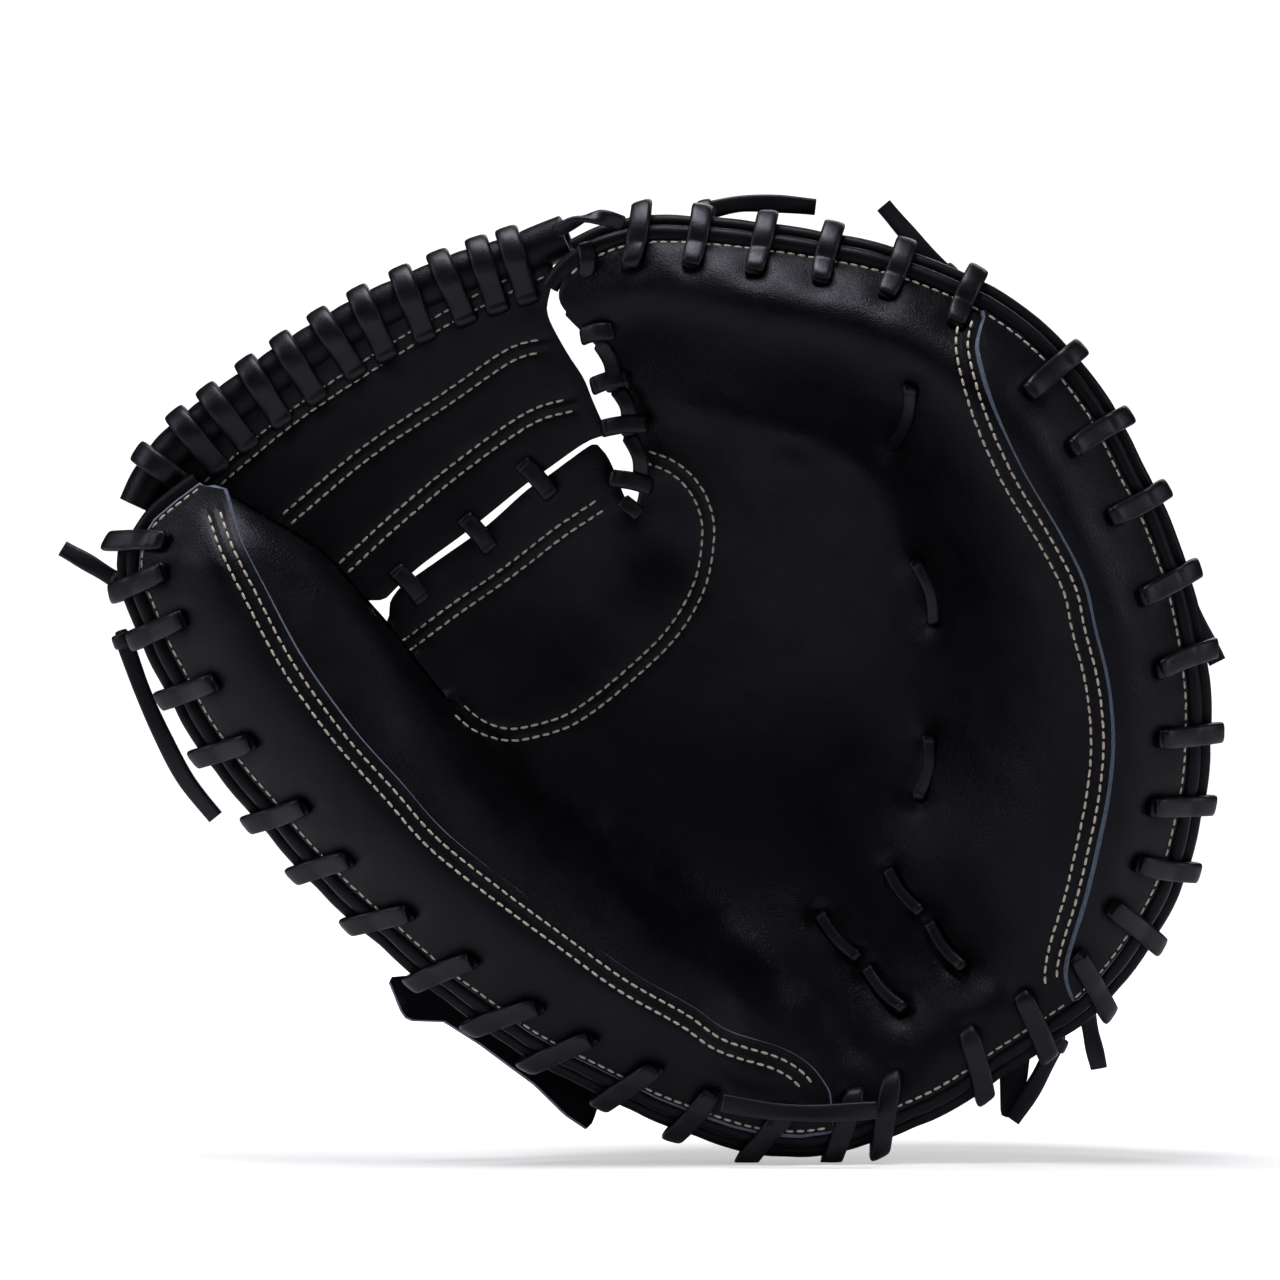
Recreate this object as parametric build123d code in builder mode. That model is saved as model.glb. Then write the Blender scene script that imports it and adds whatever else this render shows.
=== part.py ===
"""Catcher's mitt for a left hand, standing on its heel with the pocket facing -Y.

The mitt is laid up as leather, felt and lacing in front of and behind a curved rim.
A leather layer lies between two offsets in depth of one smooth surface, so that layers
stack without touching. The thumb wing hinges on the break line, from the heel to the web.

Millimetres, +Z up, +Y towards the back of the hand, palm facing -Y.
Outlines are (x, z) points; depths are y from the rim surface, + towards the back.
"""

from build123d import *
import math
import os

import numpy as np

os.makedirs("parts", exist_ok=True)

# ---------------------------------------------------------------- driving dimensions
LEATHER = 2.4           # outer shell leather
LINING = 1.3            # lining leather
LINING_GAP = 0.4        # between the hand surface and the padding or the lining
WEB_LEATHER = 2.2       # each of the two web panels
WEB_GAP = 0.45          # between the web panels
CLEAR = 0.6             # gap left between neighbouring layers
PAD_GAP = 0.05          # extra gap in front of the finger and thumb pads
SEAM_INSET = 0.45       # front leather stops this far inside the stitched rim line
UNDERLAP = 9.0          # leather reaches this far under the panels' inner seams
EDGE_SHIFT = 0.5        # leather stands this far to the left of FINGER_EDGE
PAD_RIM = 11.0          # padding stops this far inside the rim
HEEL_RIM = 13.0         # and this far at the heel
ROLL_R = 2.3            # radius of the rolled edge bindings
FRONT_ROLL_OFF = ROLL_R + 0.25                   # roll centre, outside the rim line
BACK_EDGE_OFF = 2.9                              # edge of the back shell, outside it
BACK_ROLL_OFF = BACK_EDGE_OFF + 0.8 + ROLL_R
FRONT_ROLL_DEPTH = -2.6
BACK_ROLL_DEPTH = 3.2
ROLL_BREAK_GAP = 1.5    # rolls stop this far from the break line
THUMB_ROLL_SECTIONS = 57
LACE_W = 5.6            # rawhide lace width
LACE_T = 2.3            # rawhide lace thickness
SLOT_ROOM = 0.45        # clearance of a lace in its slot
BAR_GAP = 0.9           # rear face of a flat lace to the leather
TIE_FRONT = -2.7        # ties through the pocket, from the palm surface
TIE_REAR = -0.8
RIM_CURVE = 14.0        # how far the rim comes forward at RIM_REACH from the break line
RIM_REACH = 130.0
EDGE_W = 26.0           # width over which the palm rounds down to the edge
EDGE_DEPTH = -6.0       # depth of the palm surface at the rim line
EDGE_EASE = 6.0         # distance over which it levels out outside the rim line
RUN_OUT = 8.0           # a palm surface follows its points this far past the break line
CLOSE_DEG = 40.0        # the thumb wing folds this far shut
OPEN_DEG = 5.0          # and this far open
FOLD_GAP = 0.5          # half the gap at the break line
FOLD_Y = -2.0           # depth of the fold axis
FOLD_REACH = 130.0      # trimming wedge, each way in y
FOLD_SIDE = 260.0       # and sideways from the break line
FOLD_LENGTH = 320.0     # and each way along it
STRAP_W = 50.0          # wrist strap width
STRAP_T = 3.0           # wrist strap and its lining
STRAP_GAP = 0.7
STRAP_LINING_INSET = 3.0
STALL_R = 10.5          # finger stall outer radius
STALL_WALL = 1.3
STALL_SHIFT = -1.2      # stall axes lie this far off the middle of the hand space
STALL_DOME_DEG = 88     # the dome stops just short of its axis, leaving an eye
HOOD_NEAR, HOOD_FAR = 0.8, 2.8       # faces of the index finger hood, from the back shell
CROTCH_PATCH_T = 2.0
CROTCH_PATCH_TOP = 206.0             # above this z the patch surface is straight
WEB_ROLL_R = 6.15
WEB_ROLL_BORE = 4.2
WEB_CORE_R = 3.8
WEB_ROLL_DEPTH = 6.0
WRAP_DROP = 13.2        # web lace hole, below the roll centre
END_DROP = 9.4          # the end turn has less leather to pass through
WRAP_DEPTH = 4.9        # leather taken as this thick inside a turn
WRAP_SLACK = 0.2
WRAP_SPREAD = 1.06      # turns are this much larger than the roll, so their chords clear it
TAIL_W, TAIL_T = 4.6, 2.2            # loose lace ends
KNOT_R, KNOT_T = 4.2, 2.8
HEEL_TAB_DEPTH, HEEL_TAB_T = 13.4, 2.4
STATION = 9.0           # pitch of the lattice on which all surfaces are sampled
SHEET_TOP = 288.0
MIN_SHEET = 1.25        # turning point below which a closing section is opened again

# ---------------------------------------------------------------- measured points
# stitched rim line, (x, z), from the thumb tip over the heel and round to the finger tip
RIM_STITCH = [
    (-178.98, 192.03), (-185.25, 187.47), (-191.23, 182.34), (-194.94, 176.36),
    (-195.51, 167.52), (-191.8, 157.55), (-186.96, 146.15), (-182.68, 138.45),
    (-177.84, 129.05), (-171.85, 119.93), (-165.01, 111.09), (-157.89, 103.11),
    (-150.19, 93.71), (-136.23, 79.17), (-122.26, 66.92), (-111.72, 57.51),
    (-103.74, 51.53), (-94.33, 44.69), (-84.93, 38.13), (-75.81, 33),
    (-66.41, 28.44), (-58.42, 24.45), (-49.02, 19.89), (-38.76, 15.9),
    (-27.36, 11.91), (-18.81, 9.92), (-8.83, 9.35), (0.28, 10.49),
    (11.68, 13.62), (20.23, 16.76), (29.07, 20.75), (37.62, 25.88),
    (46.45, 32.15), (53.86, 36.99), (61.27, 41.84), (68.4, 46.68),
    (74.95, 53.24), (80.94, 60.93), (86.35, 69.48), (90.91, 78.03),
    (94.05, 86.58), (96.61, 97.13), (98.89, 109.95), (99.46, 123.06),
    (99.18, 134.46), (97.18, 148.71), (94.33, 161.54), (90.63, 172.37),
    (86.07, 183.77), (80.37, 194.31), (76.09, 203.15), (71.53, 211.41),
    (65.27, 219.96), (59.28, 226.8), (51.58, 233.93), (41.32, 241.05),
    (31.06, 245.9), (20.23, 250.17), (8.26, 253.59), (-0.28, 255.3),
    (-11.11, 257.3), (-20.8, 258.72), (-30.21, 259.86), (-40.18, 260.72),
    (-48.73, 261), (-56.71, 260.43), (-63.55, 258.44), (-70.11, 255.3),
    (-74.95, 251.31), (-77.8, 247.32),
]
# break line on which the thumb wing folds, (x, z)
BREAK_WEB = (-185.53, 203.43)
BREAK_HEEL = (31.35, 23.31)

# palm surface of the finger side, (x, z, depth)
FINGER_PTS = [
    (-65.83, 248.46, -12), (-51.58, 251.88, -17), (-30.21, 247.32, -22), (-3.13, 241.34, -24),
    (16.53, 233.36, -25), (28.21, 225.09, -25), (33.91, 214.26, -25), (43.89, 197.16, -25),
    (56.71, 177.21, -25), (65.27, 160.11, -25), (72.39, 137.31, -25), (75.24, 114.51, -24),
    (72.39, 94.56, -23), (68.11, 74.61, -20), (62.41, 57.51, -16), (51.01, 43.26, -12),
    (36.76, 31.86, -9), (19.66, 24.74, -6), (11.11, 21.89, -5), (2.56, 16.19, -6),
    (-14.53, 9.06, -8), (-40.18, 264.14, -18), (-77.23, 251.31, -8), (-0.28, 258.44, -21),
    (36.76, 248.46, -22), (65.27, 225.66, -22), (85.21, 188.61, -22), (98.04, 154.41, -22),
    (100.89, 114.51, -22), (93.76, 83.16, -20), (79.51, 57.51, -16), (59.56, 37.56, -12),
    (36.76, 23.31, -8), (-20.23, 148.71, 26), (-8.83, 131.61, 27), (-31.63, 171.51, 24),
    (5.41, 160.11, 22), (-37.33, 131.61, 25), (-54.43, 108.81, 20), (-25.93, 97.41, 22),
    (-3.13, 86.01, 18), (13.96, 108.81, 20), (19.66, 131.61, 20), (21.09, 160.11, 18),
    (11.11, 182.91, 14), (-8.83, 197.16, 10), (-31.63, 205.71, 8), (-48.73, 211.41, 8),
    (-37.05, 213.98, 4), (-12.54, 207.14, 8), (4.84, 200.58, 10), (14.25, 193.17, 11),
    (26.79, 162.96, 12), (28.21, 111.66, 14), (21.09, 71.76, 10), (36.76, 57.51, 2),
    (-20.23, 228.51, -14), (8.26, 217.11, -12), (28.21, 194.31, -8), (43.89, 165.81, -10),
    (51.01, 137.31, -10), (49.59, 108.81, -10), (43.89, 80.31, -8), (8.26, 43.26, 2),
    (16.81, 57.51, 8), (5.41, 34.71, -1), (-65.83, 234.21, -5), (-56.71, 222.81, 8),
    (-54.43, 202.86, 15), (-54.43, 184.34, 20), (-65.83, 160.11, 20), (-77.23, 137.31, 18),
    (-51.58, 160.11, 22), (-94.33, 131.61, 13), (-117.13, 160.11, 13), (-100.03, 171.51, 15),
    (-80.08, 188.61, 14), (-65.83, 202.86, 11), (-57.28, 187.19, 14), (-94.33, 154.41, 17),
    (-77.23, 160.11, 19), (-65.83, 171.51, 18), (-122.83, 171.51, 11), (-108.58, 182.91, 13),
    (-128.53, 157.26, 12), (-37.33, 74.61, 14), (-8.83, 60.36, 8), (-77.23, 120.21, 17),
    (-108.58, 137.31, 12),
]
# palm surface of the thumb wing, (x, z, depth)
THUMB_PTS = [
    (-178.41, 187.19, -16), (-174.13, 177.21, -21), (-165.58, 160.11, -24),
    (-154.18, 140.16, -25), (-139.93, 120.21, -25), (-122.83, 100.26, -25),
    (-102.88, 81.74, -24), (-82.93, 66.06, -23), (-60.13, 50.39, -21), (-37.33, 37.56, -17),
    (-14.53, 24.74, -11), (2.56, 20.46, -7), (-189.81, 171.51, -18), (-179.83, 145.86, -22),
    (-159.88, 114.51, -23), (-137.08, 88.86, -23), (-108.58, 63.21, -21), (-77.23, 40.41, -19),
    (-43.03, 20.46, -14), (-14.53, 13.34, -9), (13.96, 19.04, -5), (-191.23, 182.91, -14),
    (-170.43, 189.47, -13), (-160.45, 182.91, -13), (-144.21, 171.51, -12),
    (-127.11, 152.13, -10), (-111.43, 131.61, -4), (-94.33, 114.51, 3), (-77.23, 101.69, 6),
    (-62.98, 90, 7), (-37.33, 67.49, 4), (-14.53, 50.39, 3), (5.41, 33.29, -1),
    (19.66, 21.89, -4), (-5.98, 56.09, 5), (8.26, 43.26, 1), (-142.78, 157.26, -18),
    (-122.83, 131.61, -16), (-102.88, 108.81, -12), (-77.23, 86.01, -8), (-54.43, 66.06, -10),
    (-31.63, 51.81, -8), (-11.68, 37.56, -5), (-157.03, 171.51, -18),
]
# front surface of the web, (x, z, depth)
WEB_PTS = [
    (-197.5, 182.91, 4), (-187.81, 197.16, 3), (-167.58, 213.12, 3), (-147.06, 227.09, 3),
    (-125.4, 239.06, 3), (-102.31, 247.89, 3), (-77.23, 256.44, 3), (-208.33, 194.31, 4),
    (-151.33, 202.86, 7), (-122.83, 217.11, 9), (-94.33, 231.36, 8), (-80.08, 239.91, 6),
    (-74.38, 228.51, 7), (-67.26, 214.26, 8), (-62.7, 205.71, 9), (-117.13, 197.16, 11),
    (-94.33, 208.56, 11), (-102.88, 180.06, 12), (-85.78, 194.31, 12), (-172.42, 191.46, 5),
    (-160.45, 184.34, 6), (-144.21, 174.08, 7), (-133.66, 162.39, 8), (-125.4, 152.99, 9),
    (-54.43, 234.21, 7), (-48.73, 208.56, 9), (-77.23, 171.51, 12),
]
# (x, z, depth of the padding's rear face, depth of the back shell's rear face)
HAND_PTS = [
    (-30.21, 247.32, 3, 8), (8.26, 237.06, 7, 14.5), (-20.23, 228.51, 12, 24),
    (-37.33, 188.61, 27, 59.5), (-13.11, 202.86, 22, 57.5), (11.11, 198.59, 22, 54.5),
    (33.91, 180.06, 17, 53.5), (-13.11, 217.11, 16, 38), (11.11, 214.26, 14, 34),
    (36.76, 197.16, 9, 24), (-20.23, 148.71, 36, 67.5), (5.41, 160.11, 32, 63),
    (28.21, 137.31, 26, 57), (51.01, 145.86, 13, 45), (50.44, 120.21, 12, 43),
    (48.16, 168.66, 10, 38), (-37.33, 131.61, 35, 65), (-8.83, 114.51, 34, 65),
    (19.66, 108.81, 29, 61), (5.41, 80.31, 26, 57), (31.06, 74.61, 16, 42),
    (13.96, 57.51, 14, 36), (8.26, 43.26, 8, 19), (51.01, 88.86, 10, 25),
    (-54.43, 108.81, 29, 60), (-25.93, 51.81, 14, 50), (-40.18, 43.26, 8, 34),
    (-51.58, 73.19, 17, 51), (-77.23, 94.56, 16, 58), (-91.48, 104.54, 12, 47),
    (-60.13, 57.51, 9, 31), (-100.03, 103.11, 9, 33), (-105.73, 88.86, 7, 19),
    (-122.83, 120.21, 6, 15), (-145.63, 148.71, 4, 11), (-162.73, 171.51, 3, 9),
    (-125.4, 148.71, 4, 12), (-108.58, 131.61, 9, 20), (-92.05, 116.79, 16, 34),
    (-65.83, 234.21, 1, 7.5), (-56.71, 222.81, 13, 19.5), (-54.43, 202.86, 21, 31),
    (-54.43, 184.34, 27, 44), (-48.73, 171.51, 30, 52), (-65.83, 160.11, 28, 42),
    (-77.23, 137.31, 27, 42), (-94.33, 131.61, 18, 34), (72.39, 137.31, 5, 14),
    (59.56, 120.21, 10, 27), (36.76, 214.26, 6, 14), (16.81, 228.51, 7, 14.5),
    (-51.58, 251.88, 1.5, 6.5), (-65.83, 248.46, 1, 6), (62.41, 57.51, 3, 8),
    (36.76, 31.86, 2, 6.5), (19.66, 24.74, 1.5, 6), (-14.53, 24.74, 2, 6.5),
    (-37.33, 34.71, 4, 15), (-82.93, 63.21, 5, 12.5), (-154.18, 140.16, 3.5, 9),
    (-174.13, 177.21, 2.5, 8), (-8.83, 80.31, 27, 58), (-25.93, 86.01, 26, 58),
    (-8.83, 51.81, 13, 35), (-117.13, 160.11, 22, 34), (-100.03, 171.51, 24, 36),
    (-80.08, 188.61, 24, 36), (-65.83, 202.86, 21, 33), (-60.13, 86.01, 17, 49),
    (-37.33, 66.06, 16, 48),
]
# points (x, z) outside, on and inside the rim line, thumb tip to finger tip
RIM_ROWS = [
    ((-183.55, 196.33), (-178.98, 192.03), (-173.17, 186.57)),
    ((-201.09, 176.56), (-195.03, 174.97), (-187.31, 172.94)),
    ((-195.35, 149.89), (-189.47, 152.06), (-181.99, 154.83)),
    ((-184.02, 127.38), (-178.64, 130.6), (-171.79, 134.69)),
    ((-169.81, 107.07), (-164.85, 110.91), (-158.55, 115.81)),
    ((-153.79, 88.4), (-149.18, 92.66), (-143.33, 98.08)),
    ((-136.49, 71.07), (-132.19, 75.63), (-126.73, 81.44)),
    ((-118.14, 54.84), (-114.16, 59.69), (-109.11, 65.87)),
    ((-98.55, 40), (-94.99, 45.17), (-90.46, 51.74)),
    ((-77.67, 26.95), (-74.62, 32.43), (-70.74, 39.4)),
    ((-55.54, 16.09), (-53.01, 21.83), (-49.8, 29.13)),
    ((-32.24, 7), (-30.62, 13.06), (-28.57, 20.77)),
    ((-6.71, 3.31), (-7.01, 9.58), (-7.39, 17.55)),
    ((18.43, 9.42), (16.28, 15.31), (13.53, 22.8)),
    ((40.93, 20.57), (37.77, 25.98), (33.74, 32.87)),
    ((61.44, 34.47), (57.68, 39.49), (52.9, 45.87)),
    ((80.79, 50.56), (76.11, 54.73), (70.16, 60.04)),
    ((94.87, 72.14), (89.22, 74.85), (82.02, 78.3)),
    ((102.83, 96.28), (96.7, 97.62), (88.91, 99.32)),
    ((105.67, 121.36), (99.4, 121.48), (91.42, 121.64)),
    ((103.84, 146.42), (97.64, 145.44), (89.76, 144.18)),
    ((97.81, 170.76), (91.87, 168.75), (84.31, 166.19)),
    ((87.94, 193.49), (82.28, 190.77), (75.09, 187.32)),
    ((76.26, 215.56), (71.07, 212.05), (64.46, 207.57)),
    ((59.68, 234.98), (55.49, 230.31), (50.17, 224.36)),
    ((38.56, 249.29), (35.68, 243.72), (32.01, 236.63)),
    ((14.95, 258.2), (13.19, 252.18), (10.96, 244.52)),
    ((-9.29, 263.34), (-10.34, 257.15), (-11.67, 249.29)),
    ((-33.83, 266.46), (-34.2, 260.21), (-34.68, 252.24)),
    ((-59.94, 266.02), (-58.16, 260.01), (-55.9, 252.36)),
    ((-81.21, 252.59), (-77.8, 247.32), (-73.48, 240.62)),
]
# depths of the two surfaces at the points of each of those rows
PAD_RIM_DEPTHS = (0.2, 0.5, 1.4)
BACK_RIM_DEPTHS = (3.9, 4.1, 5.3)
# rear surface of the wrist strap, (x, z, depth)
STRAP_PTS = [
    (-94.33, 31.29, 25), (-77.23, 40.41, 38), (-54.43, 51.81, 55), (-25.93, 67.49, 71),
    (-0.28, 80.31, 77), (28.21, 89.43, 74), (56.71, 97.41, 58), (79.51, 103.11, 38),
    (90.91, 105.96, 27), (-100.03, 46.11, 27), (-85.78, 11.91, 25), (-65.83, 66.06, 60),
    (-43.03, 31.86, 50), (-8.83, 103.11, 79), (11.11, 57.51, 72), (51.01, 120.21, 63),
    (62.41, 74.61, 50), (85.21, 128.76, 32), (96.61, 83.16, 24),
]
# lace loops over the rim: (outermost point, hole), each (x, z)
THUMB_LOOPS = [
    ((-203.77, 176.93), (-189.24, 176.93)), ((-203.77, 162.39), (-189.52, 168.09)),
    ((-199.21, 148.43), (-184.11, 154.7)), ((-191.8, 131.04), (-174.82, 136.74)),
    ((-181.83, 114.51), (-164.44, 119.93)), ((-167.01, 95.7), (-149.62, 101.69)),
    ((-153.04, 81.45), (-137.08, 86.58)), ((-137.94, 66.92), (-119.98, 71.48)),
    ((-119.98, 50.39), (-102.03, 58.08)), ((-102.6, 37.85), (-83.5, 44.97)),
    ((-86.35, 27.3), (-68.68, 35.85)), ((-65.83, 16.19), (-50.16, 27.3)),
    ((-44.17, 8.21), (-34.2, 20.18)), ((-23.94, 0.51), (-12.25, 15.33)),
    ((0.57, 1.65), (6.84, 20.46)), ((14.53, 6.5), (17.38, 25.02)),
]
FINGER_LOOPS = [
    ((43.89, 18.75), (38.47, 37.56)), ((61.27, 31.86), (53.86, 47.82)),
    ((77.23, 45.83), (69.54, 58.94)), ((91.48, 63.21), (78.94, 72.9)),
    ((99.75, 83.16), (86.35, 85.44)), ((105.16, 101.69), (90.06, 101.4)),
    ((107.16, 122.21), (92.05, 120.78)), ((105.16, 145.29), (91.48, 140.16)),
    ((99.46, 167.24), (86.64, 160.68)), ((90.06, 189.47), (77.8, 183.2)),
    ((78.09, 209.13), (66.69, 202.29)), ((64.69, 226.8), (54.43, 217.97)),
    ((40.47, 252.17), (33.91, 237.63)), ((20.52, 260.43), (14.53, 245.61)),
    ((0.28, 265.28), (-3.7, 249.89)), ((-18.52, 268.13), (-22.51, 252.45)),
    ((-37.05, 269.55), (-40.18, 254.45)), ((-54.43, 269.27), (-57.28, 254.45)),
]
# outlines and lines, (x, z)
FINGER_EDGE = [  # web edge of the finger side, top down
    (-77.8, 247.32), (-76.38, 242.76), (-70.68, 236.78), (-65.55, 231.65), (-60.7, 225.09),
    (-56.71, 218.54), (-55.57, 211.41), (-54.15, 201.44), (-53.58, 191.46), (-55, 184.91),
]
SLIT_LOWER = [  # lower edge of the slit below the web
    (-58.14, 188.04), (-62.7, 199.44), (-65.83, 203.72), (-68.68, 204.29), (-80.08, 196.02),
    (-87.21, 191.18), (-97.47, 182.06), (-102.88, 178.07), (-117.13, 168.09),
    (-122.83, 164.1), (-127.68, 157.26),
]
WEB_LOWER = [
    (-127.68, 160.11), (-117.99, 169.52), (-103.45, 180.35), (-87.78, 192.89),
    (-81.22, 197.45), (-69.54, 205.43), (-62.7, 207.42),
]
WEB_RIGHT = [
    (-62.7, 207.42), (-65.27, 210.84), (-68.11, 217.11), (-70.68, 223.38), (-75.52, 230.79),
    (-80.65, 240.48), (-80.65, 245.61), (-78.38, 252.74),
]
ROLL_LINE = [  # centre of the roll along the top of the web
    (-197.5, 186.62), (-193.51, 194.88), (-187.81, 202.86), (-177.55, 211.41),
    (-167.58, 218.82), (-157.32, 225.95), (-147.06, 232.79), (-136.51, 239.06),
    (-125.4, 244.76), (-114.28, 249.6), (-102.31, 254.16), (-88.63, 258.44), (-75.24, 263.57),
]
WRAPS = [  # where the web lace goes round the roll
    (-190.38, 197.73), (-182.11, 207.42), (-173.56, 214.55), (-163.59, 221.67),
    (-153.33, 228.8), (-142.78, 235.35), (-131.95, 241.34), (-120.55, 246.75),
    (-108.87, 251.31), (-98.32, 255.3), (-90.34, 257.87),
]
THUMB_SEAM = [  # inner seam of the thumb panel
    (-172.42, 191.46), (-167.29, 177.5), (-160.17, 163.53), (-151.05, 146.15),
    (-141.64, 132.18), (-132.52, 120.5), (-120.84, 107.67), (-109.44, 94.85),
    (-92.05, 80.88), (-74.67, 68.06), (-57, 55.23), (-39.61, 45.26), (-29.35, 38.13),
    (-13.96, 33), (-5.7, 27.59), (-0.85, 20.75),
]
PINKY_SEAM = [  # inner seam of the pinky panel
    (42.75, 240.2), (40.75, 234.21), (40.47, 228.51), (44.46, 213.69), (52.44, 196.02),
    (62.98, 178.64), (70.11, 164.67), (72.96, 152.7), (76.95, 137.03), (78.66, 120.21),
    (77.52, 104.54), (74.67, 89.15), (71.53, 74.61), (67.83, 61.5), (66.69, 52.95),
    (68.97, 46.4),
]
PAD_FOOT = [  # pocket edge of the finger pad
    (-51.01, 215.97), (-37.05, 213.98), (-12.54, 207.14), (4.84, 200.58), (15.67, 191.46),
    (21.94, 171.51), (27.07, 148.71), (29.64, 125.91), (29.92, 103.11), (26.79, 83.16),
    (29.64, 66.06), (37.33, 56.09), (43.89, 50.39),
]
POCKET_SPLIT = [(7.1, 74.5), (-15.7, 77.4), (-50.0, 79.5)]     # lower edge of the pocket pad
HEEL_SPLIT = [(-50.0, 78.0), (-15.7, 76.2), (7.1, 73.3)]       # upper edge of the heel pad
PATCH_ARC = [  # pocket edge of the crotch patch
    (-53.29, 201.44), (-45.03, 198.3), (-37.05, 190.32), (-34.77, 182.06), (-35.34, 171.51),
    (-38.19, 161.25), (-45.03, 150.71), (-53.29, 142.44), (-64.98, 132.18),
    (-76.66, 124.49), (-88.63, 121.64),
]
HAND_OPENING = [
    (-37.33, 73.19), (-20.23, 83.16), (-0.28, 93.14), (22.51, 103.11), (41.04, 103.11),
    (49.59, 91.71), (43.89, 73.19), (31.06, 57.51), (13.96, 46.11), (-5.98, 40.41),
    (-25.93, 38.99), (-40.18, 46.11), (-45.31, 60.36),
]
STRAP_LINE = [
    (-94.33, 31.29), (-65.83, 45.26), (-31.63, 64.64), (-0.28, 80.31), (31.06, 91.71),
    (62.41, 99.69), (90.91, 105.96),
]
LINING_OUT = [
    (-46.45, 171.51), (-40.18, 194.31), (-20.23, 208.56), (8.26, 207.99), (29.64, 194.31),
    (43.89, 171.51), (49.59, 137.31), (49.59, 103.11), (39.61, 71.76), (21.09, 50.39),
    (5.41, 50.39), (-14.53, 61.79), (-40.18, 83.16), (-77.23, 113.09), (-77.23, 134.46),
    (-62.98, 148.71),
]
THUMB_LINING_OUT = [
    (2.56, 46.11), (-14.53, 34.71), (-40.18, 43.26), (-65.83, 60.36), (-88.63, 80.31),
    (-100.03, 103.11), (-91.48, 117.36), (-65.83, 108.81), (-8.83, 60.36),
]
BACK_CROTCH = [(-57.85, 175.79), (-65.83, 160.11), (-78.66, 144.44), (-94.33, 131.61)]
HOOD = [
    (-45.31, 194.88), (-37.33, 204), (-24.51, 201.44), (-21.66, 171.51), (-26.5, 156.69),
    (-38.76, 156.69), (-44.17, 171.51),
]
HEEL_TAB = [(48.73, 28.44), (57.85, 33), (56.71, 22.74), (51.58, 11.34), (49.02, 12.48)]
# finger stalls: (base, tip)
STALLS = {
    "index_finger_stall": ((-33.91, 134.46), (-37.33, 188.61)),
    "middle_finger_stall": ((-10.83, 131.61), (-13.11, 202.86)),
    "ring_finger_stall": ((12.25, 130.19), (11.11, 198.59)),
    "little_finger_stall": ((35.34, 125.91), (35.34, 173.79)),
    "thumb_stall": ((-31.06, 60.36), (-68.11, 92.28)),
}
# laces lying on the front: (start, end)
SLIT_BARS = [
    ((-124.26, 168.66), (-116.85, 160.11)), ((-104.59, 183.48), (-97.47, 174.93)),
    ((-88.06, 199.16), (-80.08, 190.32)),
]
CROTCH_BARS = [
    ((-70.39, 234.78), (-62.41, 235.92)), ((-67.54, 221.1), (-58.42, 223.38)),
    ((-64.69, 209.13), (-53.01, 210.27)), ((-62.41, 194.88), (-51.58, 192.6)),
]
POCKET_TIES = [
    ((21.09, 219.39), (16.81, 203.43)), ((23.94, 170.94), (29.35, 153.84)),
    ((28.21, 121.07), (25.08, 103.68)),
]
HEEL_TIES = [
    ((16.81, 82.59), (25.65, 71.19)), ((28.5, 67.49), (37.62, 55.52)),
    ((-2.56, 69.77), (7.69, 58.08)), ((10.54, 54.66), (20.52, 43.83)),
]
# loose lace ends: (centre line from the knot, depth of the front face)
TAILS = {
    "rim_lace_end_a": ([(-203.49, 165.24), (-211.18, 170.09), (-219.73, 174.93)], 9.6),
    "rim_lace_end_b": (
        [(-202.06, 148.71), (-196.93, 134.46), (-191.23, 121.64), (-184.39, 108.81),
         (-175.84, 97.98)], 9.6),
    "rim_lace_end_c": (
        [(-35.62, 270.69), (-25.93, 272.69), (-15.1, 272.69), (-4.56, 271.83)], 11.6),
    "rim_lace_end_d": ([(32.49, 252.17), (23.08, 261.86), (14.53, 271.83)], 11.6),
    "rim_lace_end_e": ([(98.32, 165.24), (104.02, 153.84), (109.72, 142.44)], 13.0),
    "heel_lace_end_a": ([(73.24, 43.83), (74.95, 34.71), (76.95, 26.16)], 9.6),
    "heel_lace_end_b": ([(64.69, 33.29), (58.99, 21.89), (52.15, 11.34)], 9.6),
    "thumb_tie_end": (
        [(-31.06, 18.18), (-17.38, 15.9), (-3.13, 15.33), (12.25, 16.19)], -21.5),
}


# ---------------------------------------------------------------- lines in the (x, z) plane
def as_points(array):
    return [tuple(point) for point in array.tolist()]


def resample(points, count):
    """Evenly spaced points on a polyline, and unit normals to its left."""
    line = np.array(points, float)
    lengths = np.linalg.norm(np.diff(line, axis=0), axis=1)
    reached = np.concatenate([[0], np.cumsum(lengths)])
    wanted = np.linspace(0, reached[-1], count)
    spots = np.stack([np.interp(wanted, reached, line[:, k]) for k in (0, 1)], 1)
    tangents = np.gradient(spots, axis=0)
    tangents /= np.linalg.norm(tangents, axis=1)[:, None]
    return spots, np.stack([-tangents[:, 1], tangents[:, 0]], 1)


def inset(points, distance, count):
    """Polyline moved to its left by distance, resampled to count points."""
    spots, normals = resample(points, count)
    return as_points(spots + normals * distance)


def ribbon(points, half_width, count, first=0, last=None):
    """Outline of a band round a line, from sample first up to last."""
    left = inset(points, half_width, count)
    right = inset(points, -half_width, count)
    return left[first:last] + right[first:last][::-1]


def strip(start, end):
    """Corners of a straight piece of lace."""
    start, end = np.array(start, float), np.array(end, float)
    along = (end - start) / np.linalg.norm(end - start)
    half = np.array([-along[1], along[0]]) * LACE_W / 2
    return [start + half, end + half, end - half, start - half]


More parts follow.
